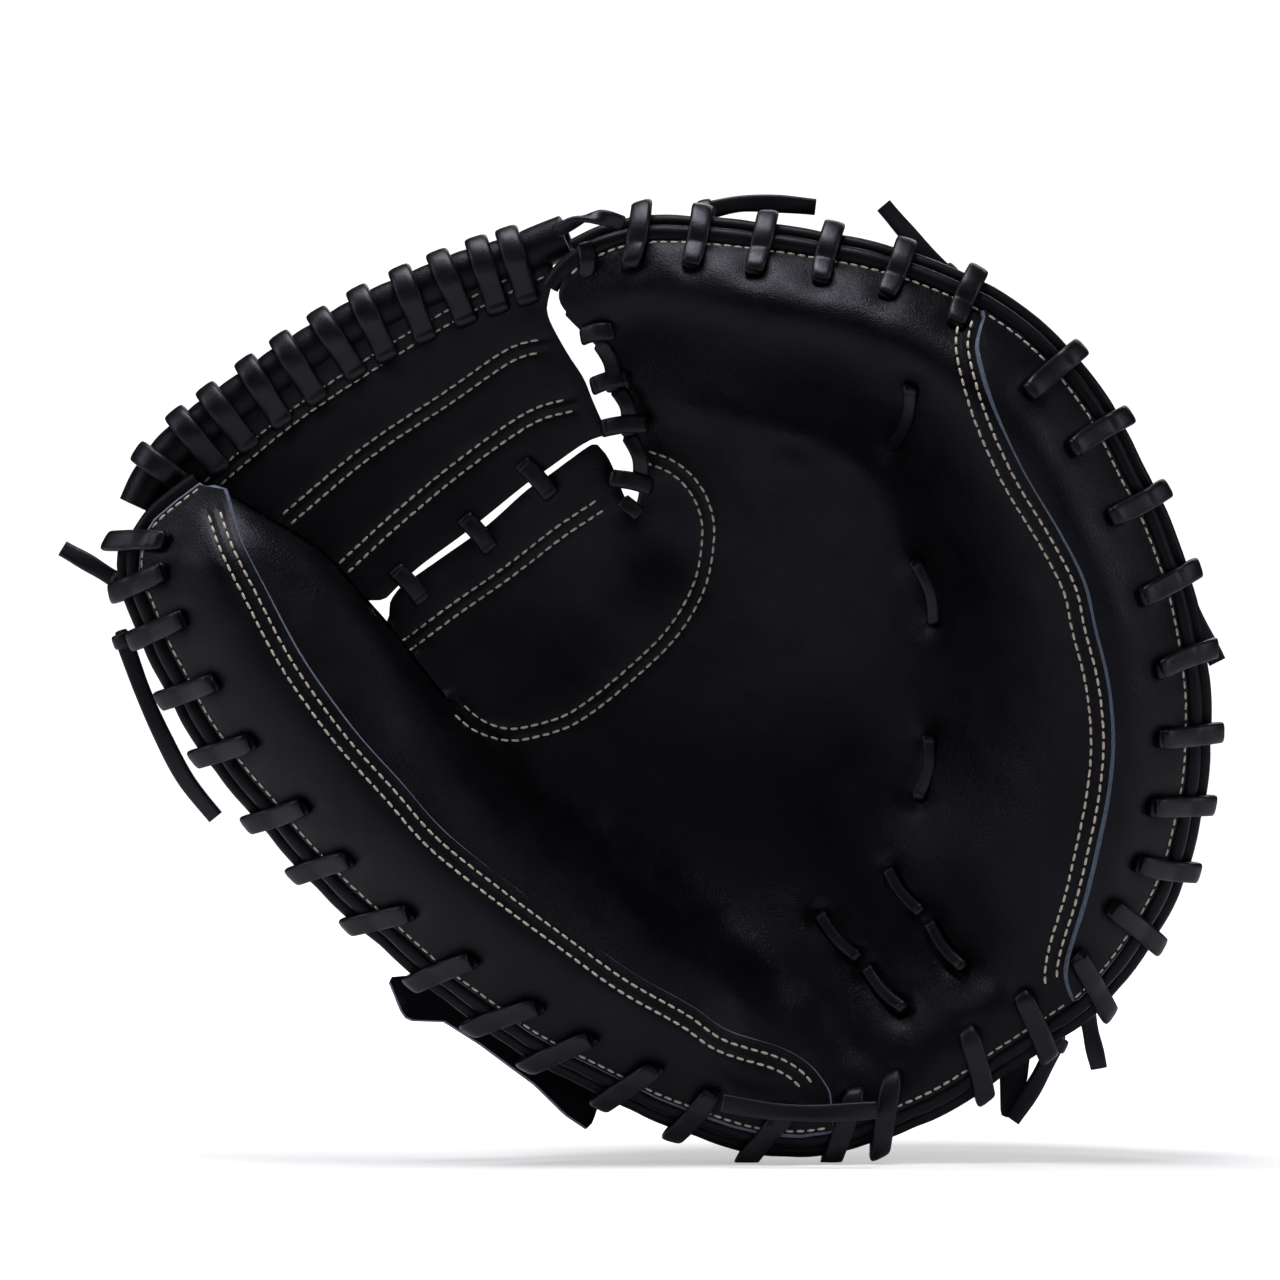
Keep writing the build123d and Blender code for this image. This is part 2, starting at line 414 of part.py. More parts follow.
def in_polygon(x, z, polygon):
    inside = False
    for (x0, z0), (x1, z1) in zip(polygon, polygon[1:] + polygon[:1]):
        if (z0 > z) != (z1 > z) and x < (x1 - x0) * (z - z0) / (z1 - z0) + x0:
            inside = not inside
    return inside


def counter_clockwise(points):
    ring = np.array(points, float)
    following = np.roll(ring, -1, axis=0)
    area = (ring[:, 0] * following[:, 1] - following[:, 0] * ring[:, 1]).sum()
    return list(points) if area > 0 else list(points)[::-1]


def grow(points, distance):
    """Closed counter-clockwise polygon grown by distance with mitred corners."""
    ring = np.array(points, float)
    grown = []
    for i, corner in enumerate(ring):
        normals = []
        for run in (corner - ring[i - 1], ring[(i + 1) % len(ring)] - corner):
            run = run / np.linalg.norm(run)
            normals.append(np.array([run[1], -run[0]]))
        mitre = (normals[0] + normals[1]) / (1 + normals[0] @ normals[1])
        grown.append(tuple(corner + distance * mitre))
    return grown


# ---------------------------------------------------------------- rim line
RIM = np.array(RIM_STITCH, float)
RIM_TANGENTS = np.gradient(RIM, axis=0)
RIM_TANGENTS /= np.linalg.norm(RIM_TANGENTS, axis=1)[:, None]
RIM_OUTWARDS = np.stack([RIM_TANGENTS[:, 1], -RIM_TANGENTS[:, 0]], 1)


def rim_part(first, last, outwards):
    """Rim line from point first up to last, moved outwards."""
    return as_points(RIM[first:last] + RIM_OUTWARDS[first:last] * outwards)


def rim_index(point):
    return int(np.linalg.norm(RIM - np.array(point), axis=1).argmin())


def nearest_on_rim(x, z):
    """Index of the nearest rim segment, the nearest point on it, and its distance."""
    spot = np.stack([np.asarray(x, float), np.asarray(z, float)], -1)[..., None, :]
    start, run = RIM[:-1], np.diff(RIM, axis=0)
    share = np.clip(((spot - start) * run).sum(-1) / (run**2).sum(-1), 0, 1)
    near = start + share[..., None] * run
    distance = np.linalg.norm(spot - near, axis=-1)
    i = distance.argmin(-1)
    point = np.take_along_axis(near, i[..., None, None], -2)[..., 0, :]
    return i, point, distance.min(-1)


def rim_distance(x, z):
    """Distance inside the stitched rim line; negative outside it."""
    i, _, distance = nearest_on_rim(x, z)
    start, run = RIM[i], RIM[i + 1] - RIM[i]
    side = run[..., 0] * (z - start[..., 1]) - run[..., 1] * (x - start[..., 0])
    return np.where(side > 0, distance, -distance)


def on_rim(x, z):
    """Nearest rim point and the unit tangent there, heading thumb to finger."""
    i, near, _ = nearest_on_rim(x, z)
    tangent = RIM[min(len(RIM) - 1, i + 2)] - RIM[max(0, i - 1)]
    return near, tangent / np.linalg.norm(tangent)


# ---------------------------------------------------------------- smooth surfaces
BREAK_0, BREAK_1 = np.array(BREAK_WEB), np.array(BREAK_HEEL)
AXIS = (BREAK_1 - BREAK_0) / np.linalg.norm(BREAK_1 - BREAK_0)   # web to heel
ACROSS = np.array([-AXIS[1], AXIS[0]])                           # towards the fingers


def across(x, z):
    """Distance from the break line, + on the finger side."""
    return (np.asarray(x) - BREAK_0[0]) * ACROSS[0] + (np.asarray(z) - BREAK_0[1]) * ACROSS[1]


def rim_y(x, z):
    return -RIM_CURVE * (across(x, z) / RIM_REACH) ** 2


def spline_field(points):
    """Smooth surface (thin plate spline) through (x, z, depth) points."""
    table = np.array(points, float)
    knots = table[:, :2] / 100.0
    count = len(knots)

    def kernel(r):
        return np.where(r > 0, r * r * np.log(r + 1e-12), 0.0)

    spread = np.linalg.norm(knots[:, None] - knots[None], axis=2)
    system = np.zeros((count + 3, count + 3))
    system[:count, :count] = kernel(spread) + np.eye(count) * 1e-4   # slight smoothing
    system[:count, count] = system[count, :count] = 1
    system[:count, count + 1:] = knots
    system[count + 1:, :count] = knots.T
    weights = np.linalg.solve(system, np.concatenate([table[:, 2], np.zeros(3)]))

    def depth(x, z):
        spot = np.stack([np.asarray(x, float), np.asarray(z, float)], -1) / 100.0
        r = np.linalg.norm(spot[..., None, :] - knots, axis=-1)
        return kernel(r) @ weights[:count] + weights[count] + spot @ weights[count + 1:]

    return depth


def surface(points):
    """y of the smooth surface through points whose depths are from the rim surface."""
    field = spline_field(points)
    return lambda x, z: rim_y(x, z) + field(x, z)


def edge_drop(inside):
    """1 at the rim line, falling to 0 at EDGE_W inside it; levels out outside the rim."""
    inside = np.asarray(inside, float)
    eased = 1 - np.exp(np.minimum(inside, 0) / EDGE_EASE)
    beyond = 1 + (2 / EDGE_W) * EDGE_EASE * eased
    return np.where(inside < 0, beyond, np.clip(1 - inside / EDGE_W, 0, 1) ** 2)


def palm_surface(points, side):
    """Palm surface on one side of the break line (+1 fingers), rounded down to the rim."""
    field = spline_field(points)

    def front(x, z):
        level = rim_y(x, z)
        # far past the break line, points move back so that the surface runs out straight
        over = np.clip(-side * across(x, z) - RUN_OUT, 0, None) * side
        x, z = x + over * ACROSS[0], z + over * ACROSS[1]
        depth = field(x, z)
        return level + depth + (EDGE_DEPTH - depth) * edge_drop(rim_distance(x, z))

    return front


def hand_points(column, rim_depths):
    """Points of one of the surfaces in HAND_PTS, with its depths along the rim."""
    inner = [(row[0], row[1], row[column]) for row in HAND_PTS]
    rim = [(x, z, depth) for row in RIM_ROWS for (x, z), depth in zip(row, rim_depths)]
    return inner + rim


def shift(base, depth):
    return lambda x, z: base(x, z) + depth


finger_front = palm_surface(FINGER_PTS, +1)
thumb_front = palm_surface(THUMB_PTS, -1)
web_front = surface(WEB_PTS)
hand_back = surface(hand_points(2, PAD_RIM_DEPTHS))    # where the hand lies
shell_back = surface(hand_points(3, BACK_RIM_DEPTHS))
strap_back = surface(STRAP_PTS)
pad_rear = shift(hand_back, -LINING_GAP)


# ---------------------------------------------------------------- solids
def save(part, name):
    part.label = name
    export_step(part, f"parts/{name}.step")


def fill(points, mode=Mode.ADD):
    """Polygonal face in the sketch being built; repeated points are dropped."""
    corners = []
    for point in points:
        point = (float(point[0]), float(point[1]))
        if not corners or math.dist(point, corners[-1]) > 0.3:
            corners.append(point)
    if math.dist(corners[0], corners[-1]) < 0.3:
        corners.pop()
    with BuildLine(Plane.XY) as edge:
        Polyline(*corners, close=True)
    make_face(edge.line.edges(), mode=mode)


def between(front, rear, points, margin):
    """Solid block between two surfaces, over the x range of points, lofted across X.

    All blocks share one lattice of stations, so that neighbouring layers follow the
    same curves.
    """
    xs = [float(point[0]) for point in points]
    first = math.floor((min(xs) - margin) / STATION - 1.2) * STATION
    last = math.ceil((max(xs) + margin) / STATION + 1.2) * STATION
    zs = np.arange(-2 * STATION, SHEET_TOP + 1, STATION)
    even = np.linspace(0, 1, len(zs)).tolist()
    with BuildPart() as block:
        for x in np.arange(first, last + 1, STATION):
            station = np.full(len(zs), x)
            front_y = front(station, zs)
            gap = rear(station, zs) - front_y
            rear_y = front_y + np.abs(gap - MIN_SHEET) + MIN_SHEET   # never closes up
            near = list(zip(front_y.tolist(), zs.tolist()))
            far = list(zip(rear_y.tolist(), zs.tolist()))
            with BuildSketch(Plane(origin=(float(x), 0, 0), x_dir=(0, 1, 0), z_dir=(1, 0, 0))):
                with BuildLine():
                    add(Edge.make_spline([Vector(*p) for p in near], parameters=even))
                    Line(near[-1], far[-1])
                    add(Edge.make_spline([Vector(*p) for p in far], parameters=even))
                    Line(far[0], near[0])
                make_face()
        loft(ruled=True)
    return block.part


def padding(name, outline, front, rear, span, holes=(), trim=None, margin=5.0):
    """Piece between two surfaces, cut to an outline; span is (front y, rear y) of the cut."""
    block = between(front, rear, outline, margin)
    with BuildPart() as piece:
        with BuildSketch(Plane.XZ.offset(-span[0])):
            fill(outline)
            for hole in holes:
                fill(hole, Mode.SUBTRACT)
        extrude(amount=span[0] - span[1])
        add(block, mode=Mode.INTERSECT)
        if trim is not None:
            add(trim, mode=Mode.SUBTRACT)
    save(piece.part, name)


def sheet(name, outline, base, near, far, span, **options):
    """Piece of constant depth, from base + near to base + far."""
    padding(name, outline, shift(base, near), shift(base, far), span, **options)


def join(name, solids, trim=None):
    with BuildPart() as piece:
        for solid in solids:
            add(solid)
        if trim is not None:
            add(trim, mode=Mode.SUBTRACT)
    save(piece.part, name)


def swept_tube(points, radius, bore=None):
    """Round bar, or tube with a bore radius, along a spline."""
    with BuildPart() as tube:
        with BuildLine() as path:
            Spline(*points)
        with BuildSketch(Plane(origin=path.line @ 0, z_dir=path.line % 0)):
            Circle(radius)
            if bore is not None:
                Circle(bore, mode=Mode.SUBTRACT)
        sweep(path=path.line)
    return tube.part


def fold_wedge(side):
    """Tool over one side of the break line, leaning clear of the fold: +1 thumb side."""
    lean_front = math.tan(math.radians(CLOSE_DEG / 2 + 1.0))
    lean_back = math.tan(math.radians(OPEN_DEG / 2 + 0.6))
    middle = (BREAK_0 + BREAK_1) / 2
    # local x runs towards the fingers, local y towards -Y
    plane = Plane(
        origin=(float(middle[0]), FOLD_Y, float(middle[1])),
        x_dir=(float(ACROSS[0]), 0, float(ACROSS[1])),
        z_dir=(float(AXIS[0]), 0, float(AXIS[1])),
    )
    with BuildPart() as tool:
        with BuildSketch(plane):
            with BuildLine():
                Polyline(
                    (-side * FOLD_SIDE, FOLD_REACH),
                    (side * (FOLD_GAP + FOLD_REACH * lean_front), FOLD_REACH),
                    (side * FOLD_GAP, 0),
                    (side * (FOLD_GAP + FOLD_REACH * lean_back), -FOLD_REACH),
                    (-side * FOLD_SIDE, -FOLD_REACH),
                    close=True,
                )
            make_face()
        extrude(amount=FOLD_LENGTH, both=True)
    return tool.part


THUMB_SIDE = fold_wedge(+1)      # subtract from finger-side pieces
FINGER_SIDE = fold_wedge(-1)     # subtract from thumb-side pieces

# everything stops at z = 0, the heel rest
with BuildPart() as floor_cut:
    with BuildSketch(Plane.XY):
        Rectangle(900, 600)
    extrude(amount=-60)
FLOOR = floor_cut.part

# ---------------------------------------------------------------- panels on the rim
AT_THUMB_HEEL = rim_index(THUMB_SEAM[-1])            # end of the thumb panel on the rim
AT_PINKY_LOW = rim_index(PINKY_SEAM[-1])
AT_PINKY_HIGH = rim_index(PINKY_SEAM[0])
AT_BREAK = rim_index(BREAK_HEEL)
AT_FOOT = rim_index(PAD_FOOT[-1])
AT_END = len(RIM_STITCH)
THUMB_PANEL_OUT = rim_part(0, AT_THUMB_HEEL + 1, -SEAM_INSET) + THUMB_SEAM[::-1]
PINKY_PANEL_OUT = (
    PINKY_SEAM[1:-1] + rim_part(AT_PINKY_LOW, AT_PINKY_HIGH + 1, -SEAM_INSET)
)
# where the leather under each panel is cut away
UNDER_PINKY = (
    inset(PINKY_SEAM, UNDERLAP, 24) + rim_part(AT_PINKY_LOW - 1, AT_PINKY_HIGH + 2, 9)
)
UNDER_THUMB = inset(THUMB_SEAM, -UNDERLAP, 30) + rim_part(0, AT_THUMB_HEEL, 9)[::-1]


# ---------------------------------------------------------------- lace loops over the rim
def normal_offset(front, at, r, distance):
    """Point of the section (r, y) lying in front of the surface, measured square to it."""
    step = 0.6
    slope = (float(front(*at(r + step))) - float(front(*at(r - step)))) / (2 * step)
    normal = np.array([slope, -1.0]) / math.hypot(slope, 1)
    return (r + normal[0] * distance, float(front(*at(r))) + normal[1] * distance)


def loop_profile(hole, out, rim_at, square, front):
    """Closed centre line (r, y) of a lace loop; r runs outwards from the hole.

    rim_at is r at the rim line; square is the part of a step along r square to the rim.
    """
    lift = LACE_T / 2 + 0.75

    def at(r):
        spot = hole + out * r
        return float(spot[0]), float(spot[1])

    front_level = float(rim_y(*at(rim_at + FRONT_ROLL_OFF / square)))
    back_level = float(rim_y(*at(rim_at + BACK_ROLL_OFF / square)))
    by_hole = normal_offset(front, at, 0.4, lift)
    midway = normal_offset(front, at, rim_at * 0.55, lift)
    by_rim = normal_offset(front, at, rim_at - 0.7, lift)
    rear = max(
        float(shell_back(*at(0.0))), float(shell_back(*at(rim_at * 0.5))) - 0.3
    ) + lift
    outermost = rim_at + (BACK_ROLL_OFF + ROLL_R + lift) / square
    return [
        (0.0, by_hole[1] - 0.5),
        midway,
        by_rim,
        (
            rim_at + (FRONT_ROLL_OFF + 1.2) / square,
            min(front_level - 5.1 - lift, by_rim[1] + 2.0),
        ),
        (outermost, back_level - 0.4),
        (outermost, back_level + 4.6),
        (
            rim_at + (BACK_ROLL_OFF + 0.6) / square,
            back_level + BACK_ROLL_DEPTH + ROLL_R + lift + 0.2,
        ),
        (rim_at * 0.5, max(rear, back_level + 4.2 + lift)),
        (0.0, rear + 0.3),
    ]


def lace_band(origin, out, tangent, profile, slope_at):
    """Closed profile (r, y) thickened by the lace and run its width along the tangent.

    The run follows the slope of the rim surface at slope_at.
    """
    ring = counter_clockwise(profile)
    rise = float(rim_y(*(slope_at + tangent * 2)) - rim_y(*(slope_at - tangent * 2))) / 4
    run = Vector(float(tangent[0]), rise, float(tangent[1])).normalized()
    start = Vector(float(origin[0]), 0, float(origin[1])) - run * (LACE_W / 2)
    x_dir = Vector(float(out[0]), 0, float(out[1]))
    plane = Plane(origin=start, x_dir=x_dir, z_dir=x_dir.cross(Vector(0, 1, 0)))
    with BuildSketch(plane) as band:
        fill(grow(ring, LACE_T / 2))
        fill(grow(ring, -LACE_T / 2), Mode.SUBTRACT)
    return Solid.extrude(band.sketch.faces()[0], run * LACE_W)


def slot_at(hole, out, tangent):
    """Corners of the slot that a loop passes through, (x, z)."""
    depth = out * (LACE_T / 2 + SLOT_ROOM)
    width = tangent * (LACE_W / 2 + SLOT_ROOM)
    return [hole - depth - width, hole + depth - width, hole + depth + width,
            hole - depth + width]


def rim_loops(loops, front, panel):
    """Lace bands over the rim and their slots; over the panel they lie further forward."""
    bands, slots = [], []
    for outer, hole in loops:
        hole = np.array(hole)
        out = np.array(outer) - hole
        out /= np.linalg.norm(out)
        near, tangent = on_rim(*hole)
        outwards = np.array([tangent[1], -tangent[0]])
        square = float(out @ outwards)
        rim_at = float((near - hole) @ outwards) / square
        panel_depth = -(LEATHER + CLEAR) if in_polygon(*hole, panel) else 0.0
        profile = loop_profile(hole, out, rim_at, square, shift(front, panel_depth))
        bands.append(lace_band(hole, out, tangent, profile, hole + out * rim_at))
        slots.append(slot_at(hole, out, tangent))
    return bands, slots


THUMB_BANDS, THUMB_SLOTS = rim_loops(THUMB_LOOPS, thumb_front, THUMB_PANEL_OUT)
FINGER_BANDS, FINGER_SLOTS = rim_loops(FINGER_LOOPS, finger_front, PINKY_PANEL_OUT)
join("finger_rim_lace", FINGER_BANDS, FLOOR)
join("thumb_rim_lace", THUMB_BANDS, FLOOR)


# ---------------------------------------------------------------- rolled edge bindings
def roll_path(first, last, outwards, depth, side):
    """Roll centre line along the rim, on one side of the break line (+1 fingers)."""
    return [
        (x, float(rim_y(x, z)) + depth, z)
        for x, z in rim_part(first, last, outwards)
        if side * float(across(x, z)) > ROLL_BREAK_GAP
    ]


def thumb_front_roll():
    """Lofted through many circles instead of swept."""
    points = roll_path(2, AT_BREAK + 2, FRONT_ROLL_OFF, FRONT_ROLL_DEPTH, -1)
    with BuildPart() as roll:
        with BuildLine(mode=Mode.PRIVATE) as path:
            Spline(*points)
        for share in np.linspace(0, 1, THUMB_ROLL_SECTIONS):
            ahead = path.line % float(share)
            sideways = (Vector(0, 1, 0) - ahead * ahead.Y).normalized()
            with BuildSketch(Plane(origin=path.line @ float(share), x_dir=sideways, z_dir=ahead)):
                Circle(ROLL_R)
        loft(ruled=True)
    save(roll.part, "thumb_front_roll")


F_FRONT = roll_path(AT_BREAK - 1, AT_END - 3, FRONT_ROLL_OFF, FRONT_ROLL_DEPTH, +1)
F_BACK = roll_path(AT_BREAK - 1, AT_END - 3, BACK_ROLL_OFF, BACK_ROLL_DEPTH, +1)
T_BACK = roll_path(3, AT_BREAK + 2, BACK_ROLL_OFF, BACK_ROLL_DEPTH, -1)
join("finger_front_roll", [swept_tube(F_FRONT, ROLL_R)])
join("finger_back_roll", [swept_tube(F_BACK, ROLL_R)], FLOOR)
thumb_front_roll()
join("thumb_back_roll", [swept_tube(T_BACK, ROLL_R)], FLOOR)

# ================================================================ finger side
FINGER_OUT = (
    SLIT_LOWER
    + [(SLIT_LOWER[-1][0] - 8, SLIT_LOWER[-1][1] - 6), (10.0, 10.0)]
    + rim_part(AT_BREAK - 1, AT_END - 1, -SEAM_INSET)
    + inset(FINGER_EDGE, EDGE_SHIFT, 14)[1:-1]
)
sheet("palm_leather", FINGER_OUT, finger_front, 0, LEATHER, (-70, 80),
      holes=[UNDER_PINKY] + FINGER_SLOTS, trim=THUMB_SIDE)

# panel along the outer finger edge, in front of the palm leather
sheet("pinky_panel", PINKY_PANEL_OUT, finger_front, -LEATHER - CLEAR, -CLEAR, (-70, 50),
      holes=FINGER_SLOTS)

# patch behind the palm leather, below the web
CROTCH_PATCH = (
    PATCH_ARC
    + [(PATCH_ARC[-1][0] - 6, PATCH_ARC[-1][1] - 2), (BREAK_WEB[0] + 50, BREAK_WEB[1] - 50)]
    + inset(SLIT_LOWER, 2.0, 12)[::-1]
)
sheet("web_crotch_patch", CROTCH_PATCH,
      lambda x, z: finger_front(x, np.minimum(z, CROTCH_PATCH_TOP)),
      LEATHER + CLEAR, LEATHER + CLEAR + CROTCH_PATCH_T, (-40, 60), trim=THUMB_SIDE)

# padding: felt between the leather and the hand
FINGER_PAD_OUT = (
    inset(FINGER_EDGE, 3.5, 14)[3:9] + PAD_FOOT + rim_part(AT_FOOT + 1, AT_END - 4, -PAD_RIM)
)
padding("finger_pad", FINGER_PAD_OUT, shift(finger_front, LEATHER + CLEAR + PAD_GAP),
        pad_rear, (-70, 70))

FOOT_IN = inset(PAD_FOOT, -1.4, 26)
POCKET_PAD_OUT = (
    FOOT_IN[1:21] + POCKET_SPLIT + [(-92.0, 112.0)] + inset(PATCH_ARC, 1.2, 16)[::-1]
)
padding("pocket_pad", POCKET_PAD_OUT, shift(finger_front, LEATHER + CLEAR), pad_rear,
        (-40, 100), trim=THUMB_SIDE)

HEEL_PAD_OUT = (
    FOOT_IN[20:25] + rim_part(AT_BREAK - 1, AT_FOOT - 1, -HEEL_RIM)[::-1]
    + [(-50.0, 60.0)] + HEEL_SPLIT
)
padding("heel_pad", HEEL_PAD_OUT, shift(finger_front, LEATHER + CLEAR), pad_rear,
        (-40, 100), trim=THUMB_SIDE)

sheet("palm_lining", LINING_OUT, hand_back, LINING_GAP, LINING_GAP + LINING, (-20, 120),
      trim=THUMB_SIDE)


# ---------------------------------------------------------------- finger stalls
def stall_axis(base, tip):
    """Ends of a straight axis about midway between the lining and the back shell."""
    base, tip = np.array(base, float), np.array(tip, float)
    shares = np.linspace(0, 1, 9)
    spots = base + (tip - base) * shares[:, None]
    x, z = spots[:, 0], spots[:, 1]
    middle = (hand_back(x, z) + LINING_GAP + LINING + shell_back(x, z) - LEATHER) / 2
    rise, level = np.polyfit(shares, middle + STALL_SHIFT, 1)
    return Vector(base[0], float(level), base[1]), Vector(tip[0], float(rise + level), tip[1])


def finger_stall(name, base, tip):
    """Leather tube open at the base, with a domed tip."""
    base, tip = stall_axis(base, tip)
    ahead = (tip - base).normalized()
    x_dir = Vector(0, 1, 0).cross(ahead).normalized()
    plane = Plane(origin=base, x_dir=x_dir, z_dir=x_dir.cross(ahead))
    shoulder = (tip - base).length - STALL_R
    inner = STALL_R - STALL_WALL

    def dome_end(radius):
        angle = math.radians(STALL_DOME_DEG)
        return (radius * math.cos(angle), shoulder + radius * math.sin(angle))

    with BuildPart() as stall:
        with BuildSketch(plane):
            with BuildLine():
                Line((STALL_R, 0), (STALL_R, shoulder))
                CenterArc((0, shoulder), STALL_R, 0, STALL_DOME_DEG)
                Line(dome_end(STALL_R), dome_end(inner))
                CenterArc((0, shoulder), inner, 0, STALL_DOME_DEG)
                Line((inner, shoulder), (inner, 0))
                Line((inner, 0), (STALL_R, 0))
            make_face()
        revolve(axis=Axis(base, tip - base))
    save(stall.part, name)


for stall_name, (stall_base, stall_tip) in STALLS.items():
    finger_stall(stall_name, stall_base, stall_tip)

# ---------------------------------------------------------------- back shell
FINGER_BACK_OUT = (
    rim_part(AT_BREAK - 1, AT_END - 2, BACK_EDGE_OFF)
    + inset(FINGER_EDGE, EDGE_SHIFT, 14)[2:-1]
    + BACK_CROTCH
    + [(BACK_CROTCH[-1][0] - 10, BACK_CROTCH[-1][1] - 4), (0.0, 5.0)]
)
sheet("finger_back_leather", FINGER_BACK_OUT, shell_back, -LEATHER, 0, (-60, 110),
      holes=[HAND_OPENING] + FINGER_SLOTS, trim=THUMB_SIDE)
sheet("index_finger_hood", HOOD, shell_back, HOOD_NEAR, HOOD_FAR, (10, 120))

# ================================================================ web
WEB_OUT = (
    inset(ROLL_LINE, -(WEB_ROLL_R + 0.6), 24)[:-1]
    + WEB_RIGHT[::-1][1:] + WEB_LOWER[::-1][1:] + [(-175.0, 160.0), (-215.0, 195.0)]
)


def wrap_loop(centre, tangent, down, drop):
    """One turn: round the roll and down through a hole in the web, (band, slot)."""
    lift = LACE_T / 2 + 0.45
    centre_y = float(rim_y(*centre)) + WEB_ROLL_DEPTH
    hole = centre + down * drop
    web_y = float(web_front(*hole))
    radius = (WEB_ROLL_R + lift) * WRAP_SPREAD
    angles = [math.radians(degrees) for degrees in (-25, 10, 50, 90, 130, 170, 205)]
    arc = [(-radius * math.sin(a), centre_y - radius * math.cos(a)) for a in angles]
    profile = (
        [(drop, web_y - lift - WRAP_SLACK)] + arc
        + [(drop, web_y + WRAP_DEPTH + lift + WRAP_SLACK)]
    )
    return lace_band(centre, down, tangent, profile, centre), slot_at(hole, down, tangent)


def web_wraps():
    """Bands and slots of all the turns, thumb end first."""
    spots, normals = resample(ROLL_LINE, 200)
    turns = []
    for i, wrap in enumerate(WRAPS):
        k = int(np.linalg.norm(spots - np.array(wrap), axis=1).argmin())
        tangent = np.array([normals[k][1], -normals[k][0]])
        turns.append(wrap_loop(spots[k], tangent, -normals[k], WRAP_DROP if i else END_DROP))
    return [turn[0] for turn in turns], [turn[1] for turn in turns]


WRAP_BANDS, WRAP_SLOTS = web_wraps()
sheet("web_front_panel", WEB_OUT, web_front, 0, WEB_LEATHER, (-40, 40),
      holes=WRAP_SLOTS[1:], trim=THUMB_SIDE)
sheet("web_back_panel", WEB_OUT, web_front, WEB_LEATHER + WEB_GAP, 2 * WEB_LEATHER + WEB_GAP,
      (-40, 40), holes=WRAP_SLOTS[1:], trim=THUMB_SIDE)

# roll along the top of the web, split at the break line, and its core
ROLL_PATH = [
    (x, float(rim_y(x, z)) + WEB_ROLL_DEPTH, z)
    for x, z in as_points(resample(ROLL_LINE, 16)[0])
]
WEB_ROLL = swept_tube(ROLL_PATH, WEB_ROLL_R, WEB_ROLL_BORE)
join("web_roll", [WEB_ROLL], THUMB_SIDE)
join("web_roll_thumb_end", [WEB_ROLL], FINGER_SIDE)
join("web_roll_core", [swept_tube(ROLL_PATH, WEB_CORE_R)], THUMB_SIDE)
join("web_roll_lace", WRAP_BANDS[1:])
join("web_roll_thumb_lace", WRAP_BANDS[:1])


# ---------------------------------------------------------------- laces on the front
def flat_laces(name, bars):
    """Flat straight laces, each just in front of the web and the palm at its corners."""
    with BuildPart() as laces:
        for start, end in bars:
            corners = strip(start, end)
            leather_y = min(
                min(float(web_front(*corner)), float(finger_front(*corner)))
                for corner in corners
            )
            with BuildSketch(Plane.XZ.offset(BAR_GAP - leather_y)):
                fill(corners)
            extrude(amount=LACE_T)
    save(laces.part, name)


def surface_laces(name, ties):
    """Straight laces that follow the palm surface."""
    ends = [point for tie in ties for point in tie]
    block = between(shift(finger_front, TIE_FRONT), shift(finger_front, TIE_REAR), ends, 8)
    with BuildPart() as laces:
        with BuildSketch(Plane.XZ.offset(40)):
            for start, end in ties:
                fill(strip(start, end))
        extrude(amount=-80)
        add(block, mode=Mode.INTERSECT)
    save(laces.part, name)


flat_laces("web_slit_laces", SLIT_BARS)
flat_laces("web_finger_lace", CROTCH_BARS)
surface_laces("pocket_tie_laces", POCKET_TIES)
surface_laces("heel_break_laces", HEEL_TIES)

# ================================================================ thumb side
THUMB_OUT = (
    rim_part(0, AT_BREAK + 2, -SEAM_INSET) + [(10.0, 60.0), (-100.0, 160.0), (-165.0, 202.0)]
)
sheet("thumb_leather", THUMB_OUT, thumb_front, 0, LEATHER, (-70, 60),
      holes=[UNDER_THUMB] + THUMB_SLOTS, trim=FINGER_SIDE)

# panel along the outer thumb edge, in front of the thumb leather
sheet("thumb_panel", THUMB_PANEL_OUT, thumb_front, -LEATHER - CLEAR, -CLEAR, (-70, 60),
      holes=THUMB_SLOTS, trim=FINGER_SIDE)

THUMB_PAD_OUT = (
    rim_part(3, AT_BREAK, -PAD_RIM) + [(10.0, 60.0), (-100.0, 160.0), (-150.0, 186.0)]
)
padding("thumb_pad", THUMB_PAD_OUT, shift(thumb_front, LEATHER + CLEAR + PAD_GAP), pad_rear,
        (-70, 60), holes=THUMB_SLOTS, trim=FINGER_SIDE)

sheet("thumb_lining", THUMB_LINING_OUT, hand_back, LINING_GAP, LINING_GAP + LINING,
      (-20, 120), trim=FINGER_SIDE)

THUMB_BACK_OUT = (
    rim_part(3, AT_BREAK + 2, BACK_EDGE_OFF)
    + [(10.0, 60.0), (-100.0, 160.0), (-176.0, 194.0)]
)
sheet("thumb_back_leather", THUMB_BACK_OUT, shell_back, -LEATHER, 0, (-60, 110),
      holes=[HAND_OPENING] + THUMB_SLOTS, trim=FINGER_SIDE)

# ================================================================ wrist strap
STRAP_OUT = ribbon(STRAP_LINE, STRAP_W / 2, 30)
sheet("wrist_strap", STRAP_OUT, strap_back, -STRAP_T, 0, (5, 95), margin=6)

# shorter and narrower, in front of the strap
STRAP_LINING_OUT = ribbon(STRAP_LINE, STRAP_W / 2 - STRAP_LINING_INSET, 30, 5, 26)
sheet("strap_lining", STRAP_LINING_OUT, strap_back, -2 * STRAP_T - STRAP_GAP,
      -STRAP_T - STRAP_GAP, (5, 95), margin=6)


